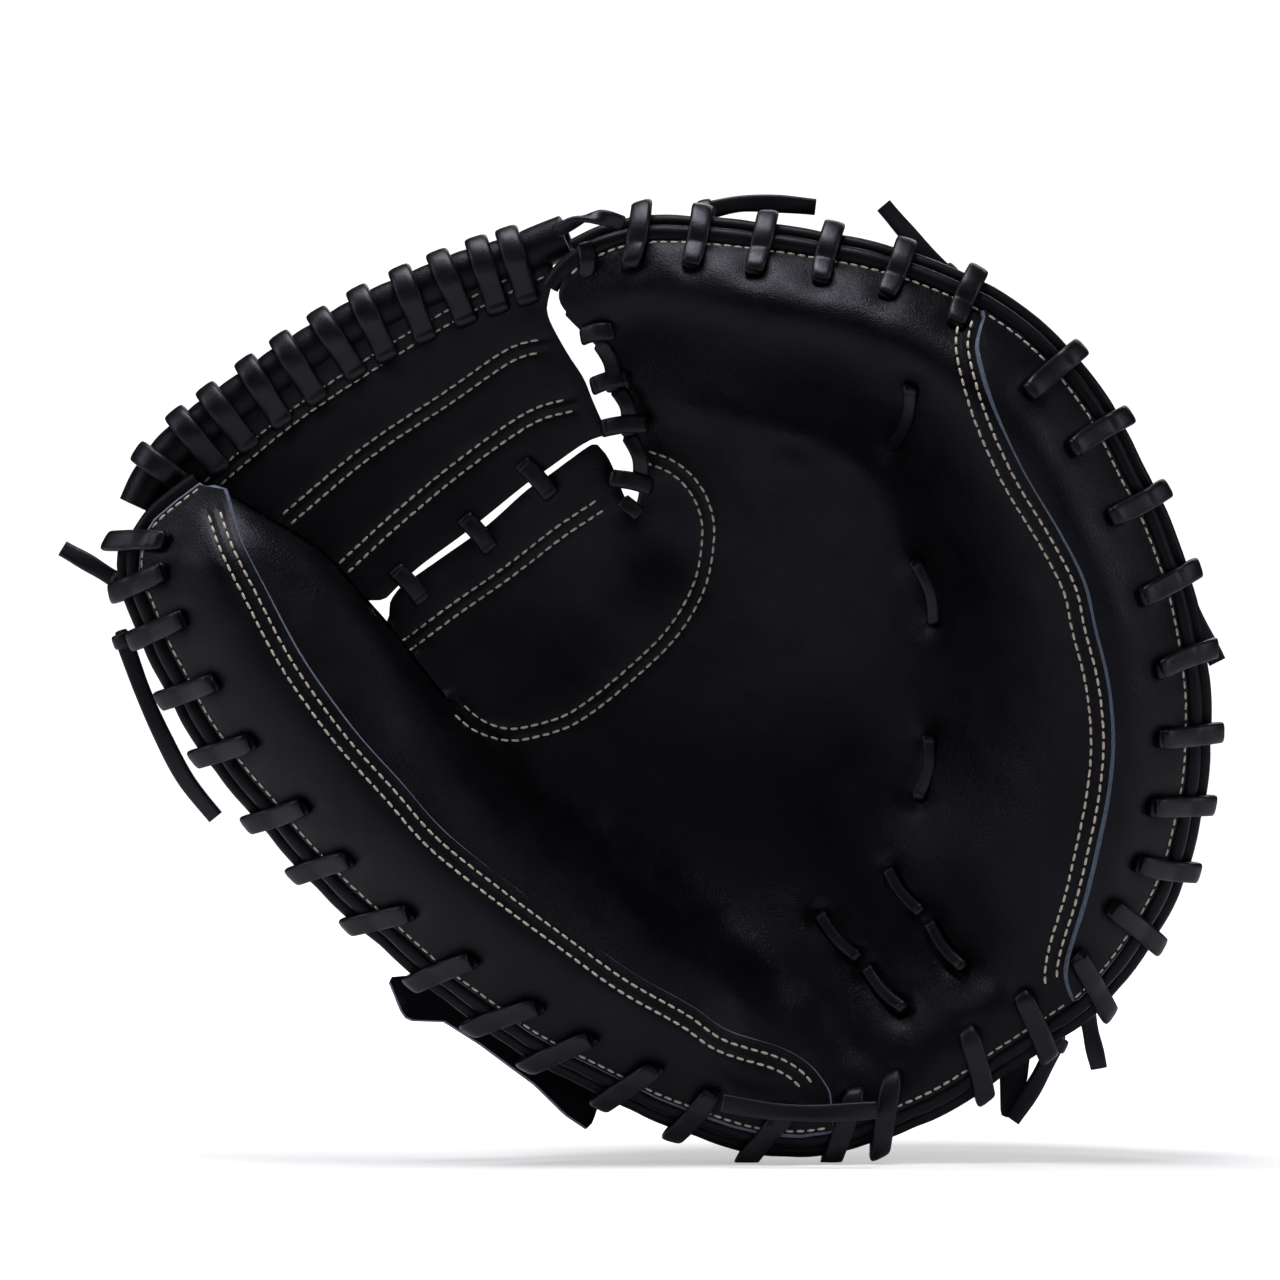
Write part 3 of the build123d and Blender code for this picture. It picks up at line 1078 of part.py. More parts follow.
# ================================================================ loose ends and heel tab
def lace_end(name, line, depth):
    """Flat loose lace with an octagonal knot at its first point."""
    front_y = float(rim_y(*line[0])) + depth
    with BuildPart() as tail:
        with BuildSketch(Plane.XZ.offset(-front_y)):
            fill(ribbon(line, TAIL_W / 2, max(6, 2 * len(line))))
        extrude(amount=-TAIL_T)
        with BuildSketch(Plane.XZ.offset(-front_y)):
            with Locations(line[0]):
                RegularPolygon(KNOT_R, 8)
        extrude(amount=-KNOT_T)
        add(FLOOR, mode=Mode.SUBTRACT)
    save(tail.part, name)


for tail_name, (tail_line, tail_depth) in TAILS.items():
    lace_end(tail_name, tail_line, tail_depth)

with BuildPart() as heel_tab:
    with BuildSketch(Plane.XZ.offset(-float(rim_y(*HEEL_TAB[1])) - HEEL_TAB_DEPTH)):
        fill(HEEL_TAB)
    extrude(amount=-HEEL_TAB_T)
    add(FLOOR, mode=Mode.SUBTRACT)
save(heel_tab.part, "heel_tab")
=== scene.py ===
# A baseball fielder's glove standing on its heel, with the pocket facing the viewer.
# -Y is the front (palm side), +Y the back of the hand, +Z up and +X the little-finger side; the
# thumb wing is on the -X side. The floor is at z = 0. Outlines are (x, z) in mm, and depths are
# in mm from the rim plane, + towards the back. Meshes are scaled to metres when they are made.
import math

import bpy
import numpy as np
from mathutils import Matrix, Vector
from mathutils.geometry import delaunay_2d_cdt


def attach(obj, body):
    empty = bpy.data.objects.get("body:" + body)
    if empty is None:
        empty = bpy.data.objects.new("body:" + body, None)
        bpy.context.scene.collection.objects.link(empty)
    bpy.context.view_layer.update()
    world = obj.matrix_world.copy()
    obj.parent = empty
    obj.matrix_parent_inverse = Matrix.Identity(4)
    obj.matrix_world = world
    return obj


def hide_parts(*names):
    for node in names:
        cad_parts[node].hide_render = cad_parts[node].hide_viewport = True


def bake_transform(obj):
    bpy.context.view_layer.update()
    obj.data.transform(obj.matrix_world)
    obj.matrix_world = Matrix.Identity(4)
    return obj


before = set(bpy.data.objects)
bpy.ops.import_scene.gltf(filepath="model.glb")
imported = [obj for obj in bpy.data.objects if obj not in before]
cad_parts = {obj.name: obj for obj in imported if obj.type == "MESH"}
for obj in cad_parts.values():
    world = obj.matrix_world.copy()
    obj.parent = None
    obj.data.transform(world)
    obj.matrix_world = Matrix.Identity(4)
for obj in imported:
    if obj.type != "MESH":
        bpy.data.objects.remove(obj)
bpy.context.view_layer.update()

RNG = np.random.default_rng(11)
MM = 0.001

# ---------------------------------------------------------------- dimensions, mm
LEATHER = 2.4
LINING = 1.3
WEB_LEATHER = 2.2
PANEL_LEATHER = 2.5
PANEL_LIFT = LEATHER + 0.4  # front of the raised panels before the palm hide
RIM_CURVE = 14.0  # how far the rim plane bows forward, 130 mm from the break
EDGE_WIDTH = 26.0  # band in which the front rolls over to the rim
EDGE_DEPTH = -6.0
FOLD_ROUND = 8.0
ROLL_R = 2.3
FRONT_OFF = ROLL_R + 0.25  # rim bindings, outwards from the stitched rim line
BACK_EDGE = 2.9
BACK_OFF = BACK_EDGE + 0.8 + ROLL_R
LACE_W, LACE_T = 5.6, 2.3
WEB_ROLL_R, WEB_ROLL_INNER_R, WEB_ROLL_DEPTH = 6.15, 4.3, 6.0
WEB_CORE_D = 7.4
WRAP_DROP, THUMB_WRAP_DROP = 13.4, 9.6  # web roll axis to the lace holes
STRAP_W, STRAP_T = 50.0, 3.0
STALL_R, STALL_WALL = 10.5, 1.2
STITCH_PITCH, STITCH_LENGTH, STITCH_R = 3.0, 2.15, 0.36
STITCH_SINK, STITCH_START, STITCH_SIDES = 0.05, 0.5, 6
# (place along the stitch, share of its radius)
STITCH_BODY = [(-0.5, 0.35), (-0.42, 0.85), (-0.15, 1.0), (0.15, 1.0), (0.42, 0.85), (0.5, 0.35)]

# ---------------------------------------------------------------- tables
# stitched rim line, (x, z), from the thumb tip over the heel and round to the finger tip
RIM = np.array([
    (-178.98, 192.03), (-185.25, 187.47), (-191.23, 182.34), (-194.94, 176.36), (-195.51, 167.52),
    (-191.8, 157.55), (-186.96, 146.15), (-182.68, 138.45), (-177.84, 129.05), (-171.85, 119.93),
    (-165.01, 111.09), (-157.89, 103.11), (-150.19, 93.71), (-136.23, 79.17), (-122.26, 66.92),
    (-111.72, 57.51), (-103.74, 51.53), (-94.33, 44.69), (-84.93, 38.13), (-75.81, 33),
    (-66.41, 28.44), (-58.42, 24.45), (-49.02, 19.89), (-38.76, 15.9), (-27.36, 11.91),
    (-18.81, 9.92), (-8.83, 9.35), (0.28, 10.49), (11.68, 13.62), (20.23, 16.76), (29.07, 20.75),
    (37.62, 25.88), (46.45, 32.15), (53.86, 36.99), (61.27, 41.84), (68.4, 46.68), (74.95, 53.24),
    (80.94, 60.93), (86.35, 69.48), (90.91, 78.03), (94.05, 86.58), (96.61, 97.13), (98.89, 109.95),
    (99.46, 123.06), (99.18, 134.46), (97.18, 148.71), (94.33, 161.54), (90.63, 172.37),
    (86.07, 183.77), (80.37, 194.31), (76.09, 203.15), (71.53, 211.41), (65.27, 219.96),
    (59.28, 226.8), (51.58, 233.93), (41.32, 241.05), (31.06, 245.9), (20.23, 250.17),
    (8.26, 253.59), (-0.28, 255.3), (-11.11, 257.3), (-20.8, 258.72), (-30.21, 259.86),
    (-40.18, 260.72), (-48.73, 261), (-56.71, 260.43), (-63.55, 258.44), (-70.11, 255.3),
    (-74.95, 251.31), (-77.8, 247.32),
])
# break line on which the thumb wing folds, web end first
HINGE = np.array([(-185.53, 203.43), (31.35, 23.31)])
# front surfaces, (x, z, depth)
FINGER_PTS = [
    (-65.83, 248.46, -12), (-51.58, 251.88, -17), (-30.21, 247.32, -22), (-3.13, 241.34, -24),
    (16.53, 233.36, -25), (28.21, 225.09, -25), (33.91, 214.26, -25), (43.89, 197.16, -25),
    (56.71, 177.21, -25), (65.27, 160.11, -25), (72.39, 137.31, -25), (75.24, 114.51, -24),
    (72.39, 94.56, -23), (68.11, 74.61, -20), (62.41, 57.51, -16), (51.01, 43.26, -12),
    (36.76, 31.86, -9), (19.66, 24.74, -6), (11.11, 21.89, -5), (2.56, 16.19, -6),
    (-14.53, 9.06, -8), (-40.18, 264.14, -18), (-77.23, 251.31, -8), (-0.28, 258.44, -21),
    (36.76, 248.46, -22), (65.27, 225.66, -22), (85.21, 188.61, -22), (98.04, 154.41, -22),
    (100.89, 114.51, -22), (93.76, 83.16, -20), (79.51, 57.51, -16), (59.56, 37.56, -12),
    (36.76, 23.31, -8), (-20.23, 148.71, 26), (-8.83, 131.61, 27), (-31.63, 171.51, 24),
    (5.41, 160.11, 22), (-37.33, 131.61, 25), (-54.43, 108.81, 20), (-25.93, 97.41, 22),
    (-3.13, 86.01, 18), (13.96, 108.81, 20), (19.66, 131.61, 20), (21.09, 160.11, 18),
    (11.11, 182.91, 14), (-8.83, 197.16, 10), (-31.63, 205.71, 8), (-48.73, 211.41, 8),
    (-37.05, 213.98, 4), (-12.54, 207.14, 8), (4.84, 200.58, 10), (14.25, 193.17, 11),
    (26.79, 162.96, 12), (28.21, 111.66, 14), (21.09, 71.76, 10), (36.76, 57.51, 2),
    (-20.23, 228.51, -14), (8.26, 217.11, -12), (28.21, 194.31, -8), (43.89, 165.81, -10),
    (51.01, 137.31, -10), (49.59, 108.81, -10), (43.89, 80.31, -8), (8.26, 43.26, 2),
    (16.81, 57.51, 8), (5.41, 34.71, -1), (-65.83, 234.21, -5), (-56.71, 222.81, 8),
    (-54.43, 202.86, 15), (-54.43, 184.34, 20), (-65.83, 160.11, 20), (-77.23, 137.31, 18),
    (-51.58, 160.11, 22), (-94.33, 131.61, 13), (-117.13, 160.11, 13), (-100.03, 171.51, 15),
    (-80.08, 188.61, 14), (-65.83, 202.86, 11), (-57.28, 187.19, 14), (-94.33, 154.41, 17),
    (-77.23, 160.11, 19), (-65.83, 171.51, 18), (-122.83, 171.51, 11), (-108.58, 182.91, 13),
    (-128.53, 157.26, 12), (-37.33, 74.61, 14), (-8.83, 60.36, 8), (-77.23, 120.21, 17),
    (-108.58, 137.31, 12),
]
THUMB_PTS = [
    (-178.41, 187.19, -16), (-174.13, 177.21, -21), (-165.58, 160.11, -24), (-154.18, 140.16, -25),
    (-139.93, 120.21, -25), (-122.83, 100.26, -25), (-102.88, 81.74, -24), (-82.93, 66.06, -23),
    (-60.13, 50.39, -21), (-37.33, 37.56, -17), (-14.53, 24.74, -11), (2.56, 20.46, -7),
    (-189.81, 171.51, -18), (-179.83, 145.86, -22), (-159.88, 114.51, -23), (-137.08, 88.86, -23),
    (-108.58, 63.21, -21), (-77.23, 40.41, -19), (-43.03, 20.46, -14), (-14.53, 13.34, -9),
    (13.96, 19.04, -5), (-191.23, 182.91, -14), (-170.43, 189.47, -13), (-160.45, 182.91, -13),
    (-144.21, 171.51, -12), (-127.11, 152.13, -10), (-111.43, 131.61, -4), (-94.33, 114.51, 3),
    (-77.23, 101.69, 6), (-62.98, 90, 7), (-37.33, 67.49, 4), (-14.53, 50.39, 3),
    (5.41, 33.29, -1), (19.66, 21.89, -4), (-5.98, 56.09, 5), (8.26, 43.26, 1),
    (-142.78, 157.26, -18), (-122.83, 131.61, -16), (-102.88, 108.81, -12), (-77.23, 86.01, -8),
    (-54.43, 66.06, -10), (-31.63, 51.81, -8), (-11.68, 37.56, -5), (-157.03, 171.51, -18),
]
WEB_PTS = [
    (-197.5, 182.91, 4), (-187.81, 197.16, 3), (-167.58, 213.12, 3), (-147.06, 227.09, 3),
    (-125.4, 239.06, 3), (-102.31, 247.89, 3), (-77.23, 256.44, 3), (-208.33, 194.31, 4),
    (-151.33, 202.86, 7), (-122.83, 217.11, 9), (-94.33, 231.36, 8), (-80.08, 239.91, 6),
    (-74.38, 228.51, 7), (-67.26, 214.26, 8), (-62.7, 205.71, 9), (-117.13, 197.16, 11),
    (-94.33, 208.56, 11), (-102.88, 180.06, 12), (-85.78, 194.31, 12), (-172.42, 191.46, 5),
    (-160.45, 184.34, 6), (-144.21, 174.08, 7), (-133.66, 162.39, 8), (-125.4, 152.99, 9),
    (-54.43, 234.21, 7), (-48.73, 208.56, 9), (-77.23, 171.51, 12),
]
# (x, z, depth of the padding's rear face, depth of the back shell's rear face)
REAR_PTS = [
    (-30.21, 247.32, 3, 8), (8.26, 237.06, 7, 14.5), (-20.23, 228.51, 12, 24),
    (-37.33, 188.61, 27, 59.5), (-13.11, 202.86, 22, 57.5), (11.11, 198.59, 22, 54.5),
    (33.91, 180.06, 17, 53.5), (-13.11, 217.11, 16, 38), (11.11, 214.26, 14, 34),
    (36.76, 197.16, 9, 24), (-20.23, 148.71, 36, 67.5), (5.41, 160.11, 32, 63),
    (28.21, 137.31, 26, 57), (51.01, 145.86, 13, 45), (50.44, 120.21, 12, 43),
    (48.16, 168.66, 10, 38), (-37.33, 131.61, 35, 65), (-8.83, 114.51, 34, 65),
    (19.66, 108.81, 29, 61), (5.41, 80.31, 26, 57), (31.06, 74.61, 16, 42),
    (13.96, 57.51, 14, 36), (8.26, 43.26, 8, 19), (51.01, 88.86, 10, 25),
    (-54.43, 108.81, 29, 60), (-25.93, 51.81, 14, 50), (-40.18, 43.26, 8, 34),
    (-51.58, 73.19, 17, 51), (-77.23, 94.56, 16, 58), (-91.48, 104.54, 12, 47),
    (-60.13, 57.51, 9, 31), (-100.03, 103.11, 9, 33), (-105.73, 88.86, 7, 19),
    (-122.83, 120.21, 6, 15), (-145.63, 148.71, 4, 11), (-162.73, 171.51, 3, 9),
    (-125.4, 148.71, 4, 12), (-108.58, 131.61, 9, 20), (-92.05, 116.79, 16, 34),
    (-65.83, 234.21, 1, 7.5), (-56.71, 222.81, 13, 19.5), (-54.43, 202.86, 21, 31),
    (-54.43, 184.34, 27, 44), (-48.73, 171.51, 30, 52), (-65.83, 160.11, 28, 42),
    (-77.23, 137.31, 27, 42), (-94.33, 131.61, 18, 34), (72.39, 137.31, 5, 14),
    (59.56, 120.21, 10, 27), (36.76, 214.26, 6, 14), (16.81, 228.51, 7, 14.5),
    (-51.58, 251.88, 1.5, 6.5), (-65.83, 248.46, 1, 6), (62.41, 57.51, 3, 8),
    (36.76, 31.86, 2, 6.5), (19.66, 24.74, 1.5, 6), (-14.53, 24.74, 2, 6.5),
    (-37.33, 34.71, 4, 15), (-82.93, 63.21, 5, 12.5), (-154.18, 140.16, 3.5, 9),
    (-174.13, 177.21, 2.5, 8), (-8.83, 80.31, 27, 58), (-25.93, 86.01, 26, 58),
    (-8.83, 51.81, 13, 35), (-117.13, 160.11, 22, 34), (-100.03, 171.51, 24, 36),
    (-80.08, 188.61, 24, 36), (-65.83, 202.86, 21, 33), (-60.13, 86.01, 17, 49),
    (-37.33, 66.06, 16, 48),
]
# stations round the rim: x, z outside the rim, x, z on it, x, z inside it; and the depths of
# the padding and the shell at those three places
RIM_STATIONS = [
    (-183.55, 196.33, -178.98, 192.03, -173.17, 186.57),
    (-201.09, 176.56, -195.03, 174.97, -187.31, 172.94),
    (-195.35, 149.89, -189.47, 152.06, -181.99, 154.83),
    (-184.02, 127.38, -178.64, 130.6, -171.79, 134.69),
    (-169.81, 107.07, -164.85, 110.91, -158.55, 115.81),
    (-153.79, 88.4, -149.18, 92.66, -143.33, 98.08), (-136.49, 71.07, -132.19, 75.63, -126.73, 81.44),
    (-118.14, 54.84, -114.16, 59.69, -109.11, 65.87), (-98.55, 40, -94.99, 45.17, -90.46, 51.74),
    (-77.67, 26.95, -74.62, 32.43, -70.74, 39.4), (-55.54, 16.09, -53.01, 21.83, -49.8, 29.13),
    (-32.24, 7, -30.62, 13.06, -28.57, 20.77), (-6.71, 3.31, -7.01, 9.58, -7.39, 17.55),
    (18.43, 9.42, 16.28, 15.31, 13.53, 22.8), (40.93, 20.57, 37.77, 25.98, 33.74, 32.87),
    (61.44, 34.47, 57.68, 39.49, 52.9, 45.87), (80.79, 50.56, 76.11, 54.73, 70.16, 60.04),
    (94.87, 72.14, 89.22, 74.85, 82.02, 78.3), (102.83, 96.28, 96.7, 97.62, 88.91, 99.32),
    (105.67, 121.36, 99.4, 121.48, 91.42, 121.64), (103.84, 146.42, 97.64, 145.44, 89.76, 144.18),
    (97.81, 170.76, 91.87, 168.75, 84.31, 166.19), (87.94, 193.49, 82.28, 190.77, 75.09, 187.32),
    (76.26, 215.56, 71.07, 212.05, 64.46, 207.57), (59.68, 234.98, 55.49, 230.31, 50.17, 224.36),
    (38.56, 249.29, 35.68, 243.72, 32.01, 236.63), (14.95, 258.2, 13.19, 252.18, 10.96, 244.52),
    (-9.29, 263.34, -10.34, 257.15, -11.67, 249.29),
    (-33.83, 266.46, -34.2, 260.21, -34.68, 252.24), (-59.94, 266.02, -58.16, 260.01, -55.9, 252.36),
    (-81.21, 252.59, -77.8, 247.32, -73.48, 240.62),
]
PAD_RIM_DEPTHS = (0.2, 0.5, 1.4)
SHELL_RIM_DEPTHS = (3.9, 4.1, 5.3)
STRAP_PTS = [
    (-94.33, 31.29, 25), (-77.23, 40.41, 38), (-54.43, 51.81, 55), (-25.93, 67.49, 71),
    (-0.28, 80.31, 77), (28.21, 89.43, 74), (56.71, 97.41, 58), (79.51, 103.11, 38),
    (90.91, 105.96, 27), (-100.03, 46.11, 27), (-85.78, 11.91, 25), (-65.83, 66.06, 60),
    (-43.03, 31.86, 50), (-8.83, 103.11, 79), (11.11, 57.51, 72), (51.01, 120.21, 63),
    (62.41, 74.61, 50), (85.21, 128.76, 32), (96.61, 83.16, 24),
]
# lace loops over the rim: (outermost point, hole); the first THUMB_LOOPS are on the thumb wing
THUMB_LOOPS = 16
LOOPS = [
    ((-203.77, 176.93), (-189.24, 176.93)), ((-203.77, 162.39), (-189.52, 168.09)),
    ((-199.21, 148.43), (-184.11, 154.7)), ((-191.8, 131.04), (-174.82, 136.74)),
    ((-181.83, 114.51), (-164.44, 119.93)), ((-167.01, 95.7), (-149.62, 101.69)),
    ((-153.04, 81.45), (-137.08, 86.58)), ((-137.94, 66.92), (-119.98, 71.48)),
    ((-119.98, 50.39), (-102.03, 58.08)), ((-102.6, 37.85), (-83.5, 44.97)),
    ((-86.35, 27.3), (-68.68, 35.85)), ((-65.83, 16.19), (-50.16, 27.3)),
    ((-44.17, 8.21), (-34.2, 20.18)), ((-23.94, 0.51), (-12.25, 15.33)),
    ((0.57, 1.65), (6.84, 20.46)), ((14.53, 6.5), (17.38, 25.02)),
    ((43.89, 18.75), (38.47, 37.56)), ((61.27, 31.86), (53.86, 47.82)),
    ((77.23, 45.83), (69.54, 58.94)), ((91.48, 63.21), (78.94, 72.9)),
    ((99.75, 83.16), (86.35, 85.44)), ((105.16, 101.69), (90.06, 101.4)),
    ((107.16, 122.21), (92.05, 120.78)), ((105.16, 145.29), (91.48, 140.16)),
    ((99.46, 167.24), (86.64, 160.68)), ((90.06, 189.47), (77.8, 183.2)),
    ((78.09, 209.13), (66.69, 202.29)), ((64.69, 226.8), (54.43, 217.97)),
    ((40.47, 252.17), (33.91, 237.63)), ((20.52, 260.43), (14.53, 245.61)),
    ((0.28, 265.28), (-3.7, 249.89)), ((-18.52, 268.13), (-22.51, 252.45)),
    ((-37.05, 269.55), (-40.18, 254.45)), ((-54.43, 269.27), (-57.28, 254.45)),
]
# edges and seams, (x, z)
FINGER_EDGE = [
    (-77.8, 247.32), (-76.38, 242.76), (-70.68, 236.78), (-65.55, 231.65), (-60.7, 225.09),
    (-56.71, 218.54), (-55.57, 211.41), (-54.15, 201.44), (-53.58, 191.46), (-55, 184.91),
]
SLIT_LOWER = [
    (-58.14, 188.04), (-62.7, 199.44), (-65.83, 203.72), (-68.68, 204.29), (-80.08, 196.02),
    (-87.21, 191.18), (-97.47, 182.06), (-102.88, 178.07), (-117.13, 168.09), (-122.83, 164.1),
    (-127.68, 157.26),
]
WEB_LOWER = [
    (-127.68, 160.11), (-117.99, 169.52), (-103.45, 180.35), (-87.78, 192.89), (-81.22, 197.45),
    (-69.54, 205.43), (-62.7, 207.42),
]
WEB_RIGHT = [
    (-62.7, 207.42), (-65.27, 210.84), (-68.11, 217.11), (-70.68, 223.38), (-75.52, 230.79),
    (-80.65, 240.48), (-80.65, 245.61), (-78.38, 252.74),
]
ROLL_LINE = [
    (-197.5, 186.62), (-193.51, 194.88), (-187.81, 202.86), (-177.55, 211.41), (-167.58, 218.82),
    (-157.32, 225.95), (-147.06, 232.79), (-136.51, 239.06), (-125.4, 244.76), (-114.28, 249.6),
    (-102.31, 254.16), (-88.63, 258.44), (-75.24, 263.57),
]
THUMB_SEAM = [
    (-172.42, 191.46), (-167.29, 177.5), (-160.17, 163.53), (-151.05, 146.15), (-141.64, 132.18),
    (-132.52, 120.5), (-120.84, 107.67), (-109.44, 94.85), (-92.05, 80.88), (-74.67, 68.06),
    (-57, 55.23), (-39.61, 45.26), (-29.35, 38.13), (-13.96, 33), (-5.7, 27.59), (-0.85, 20.75),
]
PINKY_SEAM = [
    (42.75, 240.2), (40.75, 234.21), (40.47, 228.51), (44.46, 213.69), (52.44, 196.02),
    (62.98, 178.64), (70.11, 164.67), (72.96, 152.7), (76.95, 137.03), (78.66, 120.21),
    (77.52, 104.54), (74.67, 89.15), (71.53, 74.61), (67.83, 61.5), (66.69, 52.95), (68.97, 46.4),
]
# places of the laces round the web roll
WRAPS = [
    (-190.38, 197.73), (-182.11, 207.42), (-173.56, 214.55), (-163.59, 221.67), (-153.33, 228.8),
    (-142.78, 235.35), (-131.95, 241.34), (-120.55, 246.75), (-108.87, 251.31), (-98.32, 255.3),
    (-90.34, 257.87),
]
HAND_OPENING = [
    (-37.33, 73.19), (-20.23, 83.16), (-0.28, 93.14), (22.51, 103.11), (41.04, 103.11),
    (49.59, 91.71), (43.89, 73.19), (31.06, 57.51), (13.96, 46.11), (-5.98, 40.41),
    (-25.93, 38.99), (-40.18, 46.11), (-45.31, 60.36),
]
STRAP_LINE = [
    (-94.33, 31.29), (-65.83, 45.26), (-31.63, 64.64), (-0.28, 80.31), (31.06, 91.71),
    (62.41, 99.69), (90.91, 105.96),
]
STRAP_END = [
    (-67.83, 9.92), (-69.25, 7.92), (-75.52, 12.2), (-84.36, 21.03), (-99.75, 32.72),
    (-110.29, 39.56), (-120.55, 40.13), (-122.26, 42.12), (-126.54, 52.1),
]
PALM_LINING = [
    (-46.45, 171.51), (-40.18, 194.31), (-20.23, 208.56), (8.26, 207.99), (29.64, 194.31),
    (43.89, 171.51), (49.59, 137.31), (49.59, 103.11), (39.61, 71.76), (21.09, 50.39),
    (5.41, 50.39), (-14.53, 61.79), (-40.18, 83.16), (-77.23, 113.09), (-77.23, 134.46),
    (-62.98, 148.71),
]
THUMB_LINING = [
    (2.56, 46.11), (-14.53, 34.71), (-40.18, 43.26), (-65.83, 60.36), (-88.63, 80.31),
    (-100.03, 103.11), (-91.48, 117.36), (-65.83, 108.81), (-8.83, 60.36),
]
BACK_CROTCH = [(-57.85, 175.79), (-65.83, 160.11), (-78.66, 144.44), (-94.33, 131.61)]
HOOD = [
    (-45.31, 194.88), (-37.33, 204), (-24.51, 201.44), (-21.66, 171.51), (-26.5, 156.69),
    (-38.76, 156.69), (-44.17, 171.51),
]
HEEL_TAB = [(48.73, 28.44), (57.85, 33), (56.71, 22.74), (51.58, 11.34), (49.02, 12.48)]
# finger stalls: name, body, base, tip
STALLS = [
    ("index_finger", "palm_body", (-33.91, 134.46), (-37.33, 188.61)),
    ("middle_finger", "palm_body", (-10.83, 131.61), (-13.11, 202.86)),
    ("ring_finger", "palm_body", (12.25, 130.19), (11.11, 198.59)),
    ("little_finger", "palm_body", (35.34, 125.91), (35.34, 173.79)),
    ("thumb", "thumb_body", (-31.06, 60.36), (-68.11, 92.28)),
]
# short laces between two holes
SLIT_BARS = [
    [(-124.26, 168.66), (-116.85, 160.11)], [(-104.59, 183.48), (-97.47, 174.93)],
    [(-88.06, 199.16), (-80.08, 190.32)],
]
CROTCH_BARS = [
    [(-70.39, 234.78), (-62.41, 235.92)], [(-67.54, 221.1), (-58.42, 223.38)],
    [(-64.69, 209.13), (-53.01, 210.27)], [(-62.41, 194.88), (-51.58, 192.6)],
]
POCKET_TIES = [
    [(21.09, 219.39), (16.81, 203.43)], [(23.94, 170.94), (29.35, 153.84)],
    [(28.21, 121.07), (25.08, 103.68)],
]
HEEL_TIES = [
    [(16.81, 82.59), (25.65, 71.19)], [(28.5, 67.49), (37.62, 55.52)],
    [(-2.56, 69.77), (7.69, 58.08)], [(10.54, 54.66), (20.52, 43.83)],
]
# laces running beside the web's finger-side edge: (x, z, depth from the surface)
CROTCH_RUNS = [
    [(-78.38, 263.85, -2), (-71.53, 267.27, -4), (-64.69, 267.84, -5), (-58.99, 266.13, -3)],
    [(-70.39, 261.0, -1), (-69.25, 256.44, -2), (-69.54, 251.31, 1)],
    [(-65.83, 232.79, 0), (-62.41, 226.8, -1.5), (-62.41, 219.39, 0)],
    [(-61.27, 220.53, 0), (-57.85, 214.83, -1.5), (-57.85, 206.85, 0)],
    [(-57.85, 207.42, 0), (-54.43, 200.58, -1.8), (-54.43, 192.6, 0)],
    [(-59.56, 188.61, -2.2), (-56.71, 186.33, -3.2), (-54.43, 184.62, -3.4)],
]
# loose ends: name, centre line, depth of the root
TAILS = [
    ("rim_lace_end_a", [(-203.49, 165.24), (-211.18, 170.09), (-219.73, 174.93)], 9.6),
    ("rim_lace_end_b", [
        (-202.06, 148.71), (-196.93, 134.46), (-191.23, 121.64), (-184.39, 108.81), (-175.84, 97.98),
    ], 9.6),
    ("rim_lace_end_c", [
        (-35.62, 270.69), (-25.93, 272.69), (-15.1, 272.69), (-4.56, 271.83),
    ], 11.6),
    ("rim_lace_end_d", [(32.49, 252.17), (23.08, 261.86), (14.53, 271.83)], 11.6),
    ("rim_lace_end_e", [(98.32, 165.24), (104.02, 153.84), (109.72, 142.44)], 13.0),
    ("heel_lace_end_a", [(73.24, 43.83), (74.95, 34.71), (76.95, 26.16)], 9.6),
    ("heel_lace_end_b", [(64.69, 33.29), (58.99, 21.89), (52.15, 11.34)], 9.6),
    ("thumb_tie_end", [(-31.06, 18.18), (-17.38, 15.9), (-3.13, 15.33), (12.25, 16.19)], -21.5),
]
# folds and stitch rows: the ridge of the thumb hide, and the line the fold fades out along
RIDGE = [
    (-172.42, 191.46), (-160.45, 184.34), (-144.21, 174.08), (-133.66, 162.39), (-125.4, 152.99),
    (-115.99, 140.73), (-108.3, 131.04),
]
FOLD_ON = [
    (-92.05, 116.79), (-80.37, 105.11), (-62.98, 92.28), (-37.33, 73.19), (-14.53, 55.23),
    (5.41, 34.71), (15.39, 21.89),
]
POCKET_ARC = [
    (-53.29, 201.44), (-45.03, 198.3), (-37.05, 190.32), (-34.77, 182.06), (-35.34, 171.51),
    (-38.19, 161.25), (-45.03, 150.71), (-53.29, 142.44), (-64.98, 132.18), (-76.66, 124.49),
    (-90.63, 121.07), (-99.75, 123.35), (-108.01, 130.47),
]
SLIT_ROW = [
    (-121.98, 146.72), (-109.15, 156.41), (-91.77, 168.66), (-76.66, 180.35), (-63.84, 188.61),
]
WEB_ROW_LINES = [
    [(-178.41, 192.03), (-155.61, 211.13), (-132.52, 226.8), (-109.15, 240.77), (-88.06, 251.31),
     (-74.95, 256.44)],
    [(-156.18, 182.63), (-132.52, 202.58), (-109.15, 218.25), (-91.77, 229.94), (-81.79, 232.79)],
    [(-139.93, 168.66), (-124.26, 183.2), (-104.59, 199.44), (-85.78, 212.27), (-73.53, 215.97)],
]
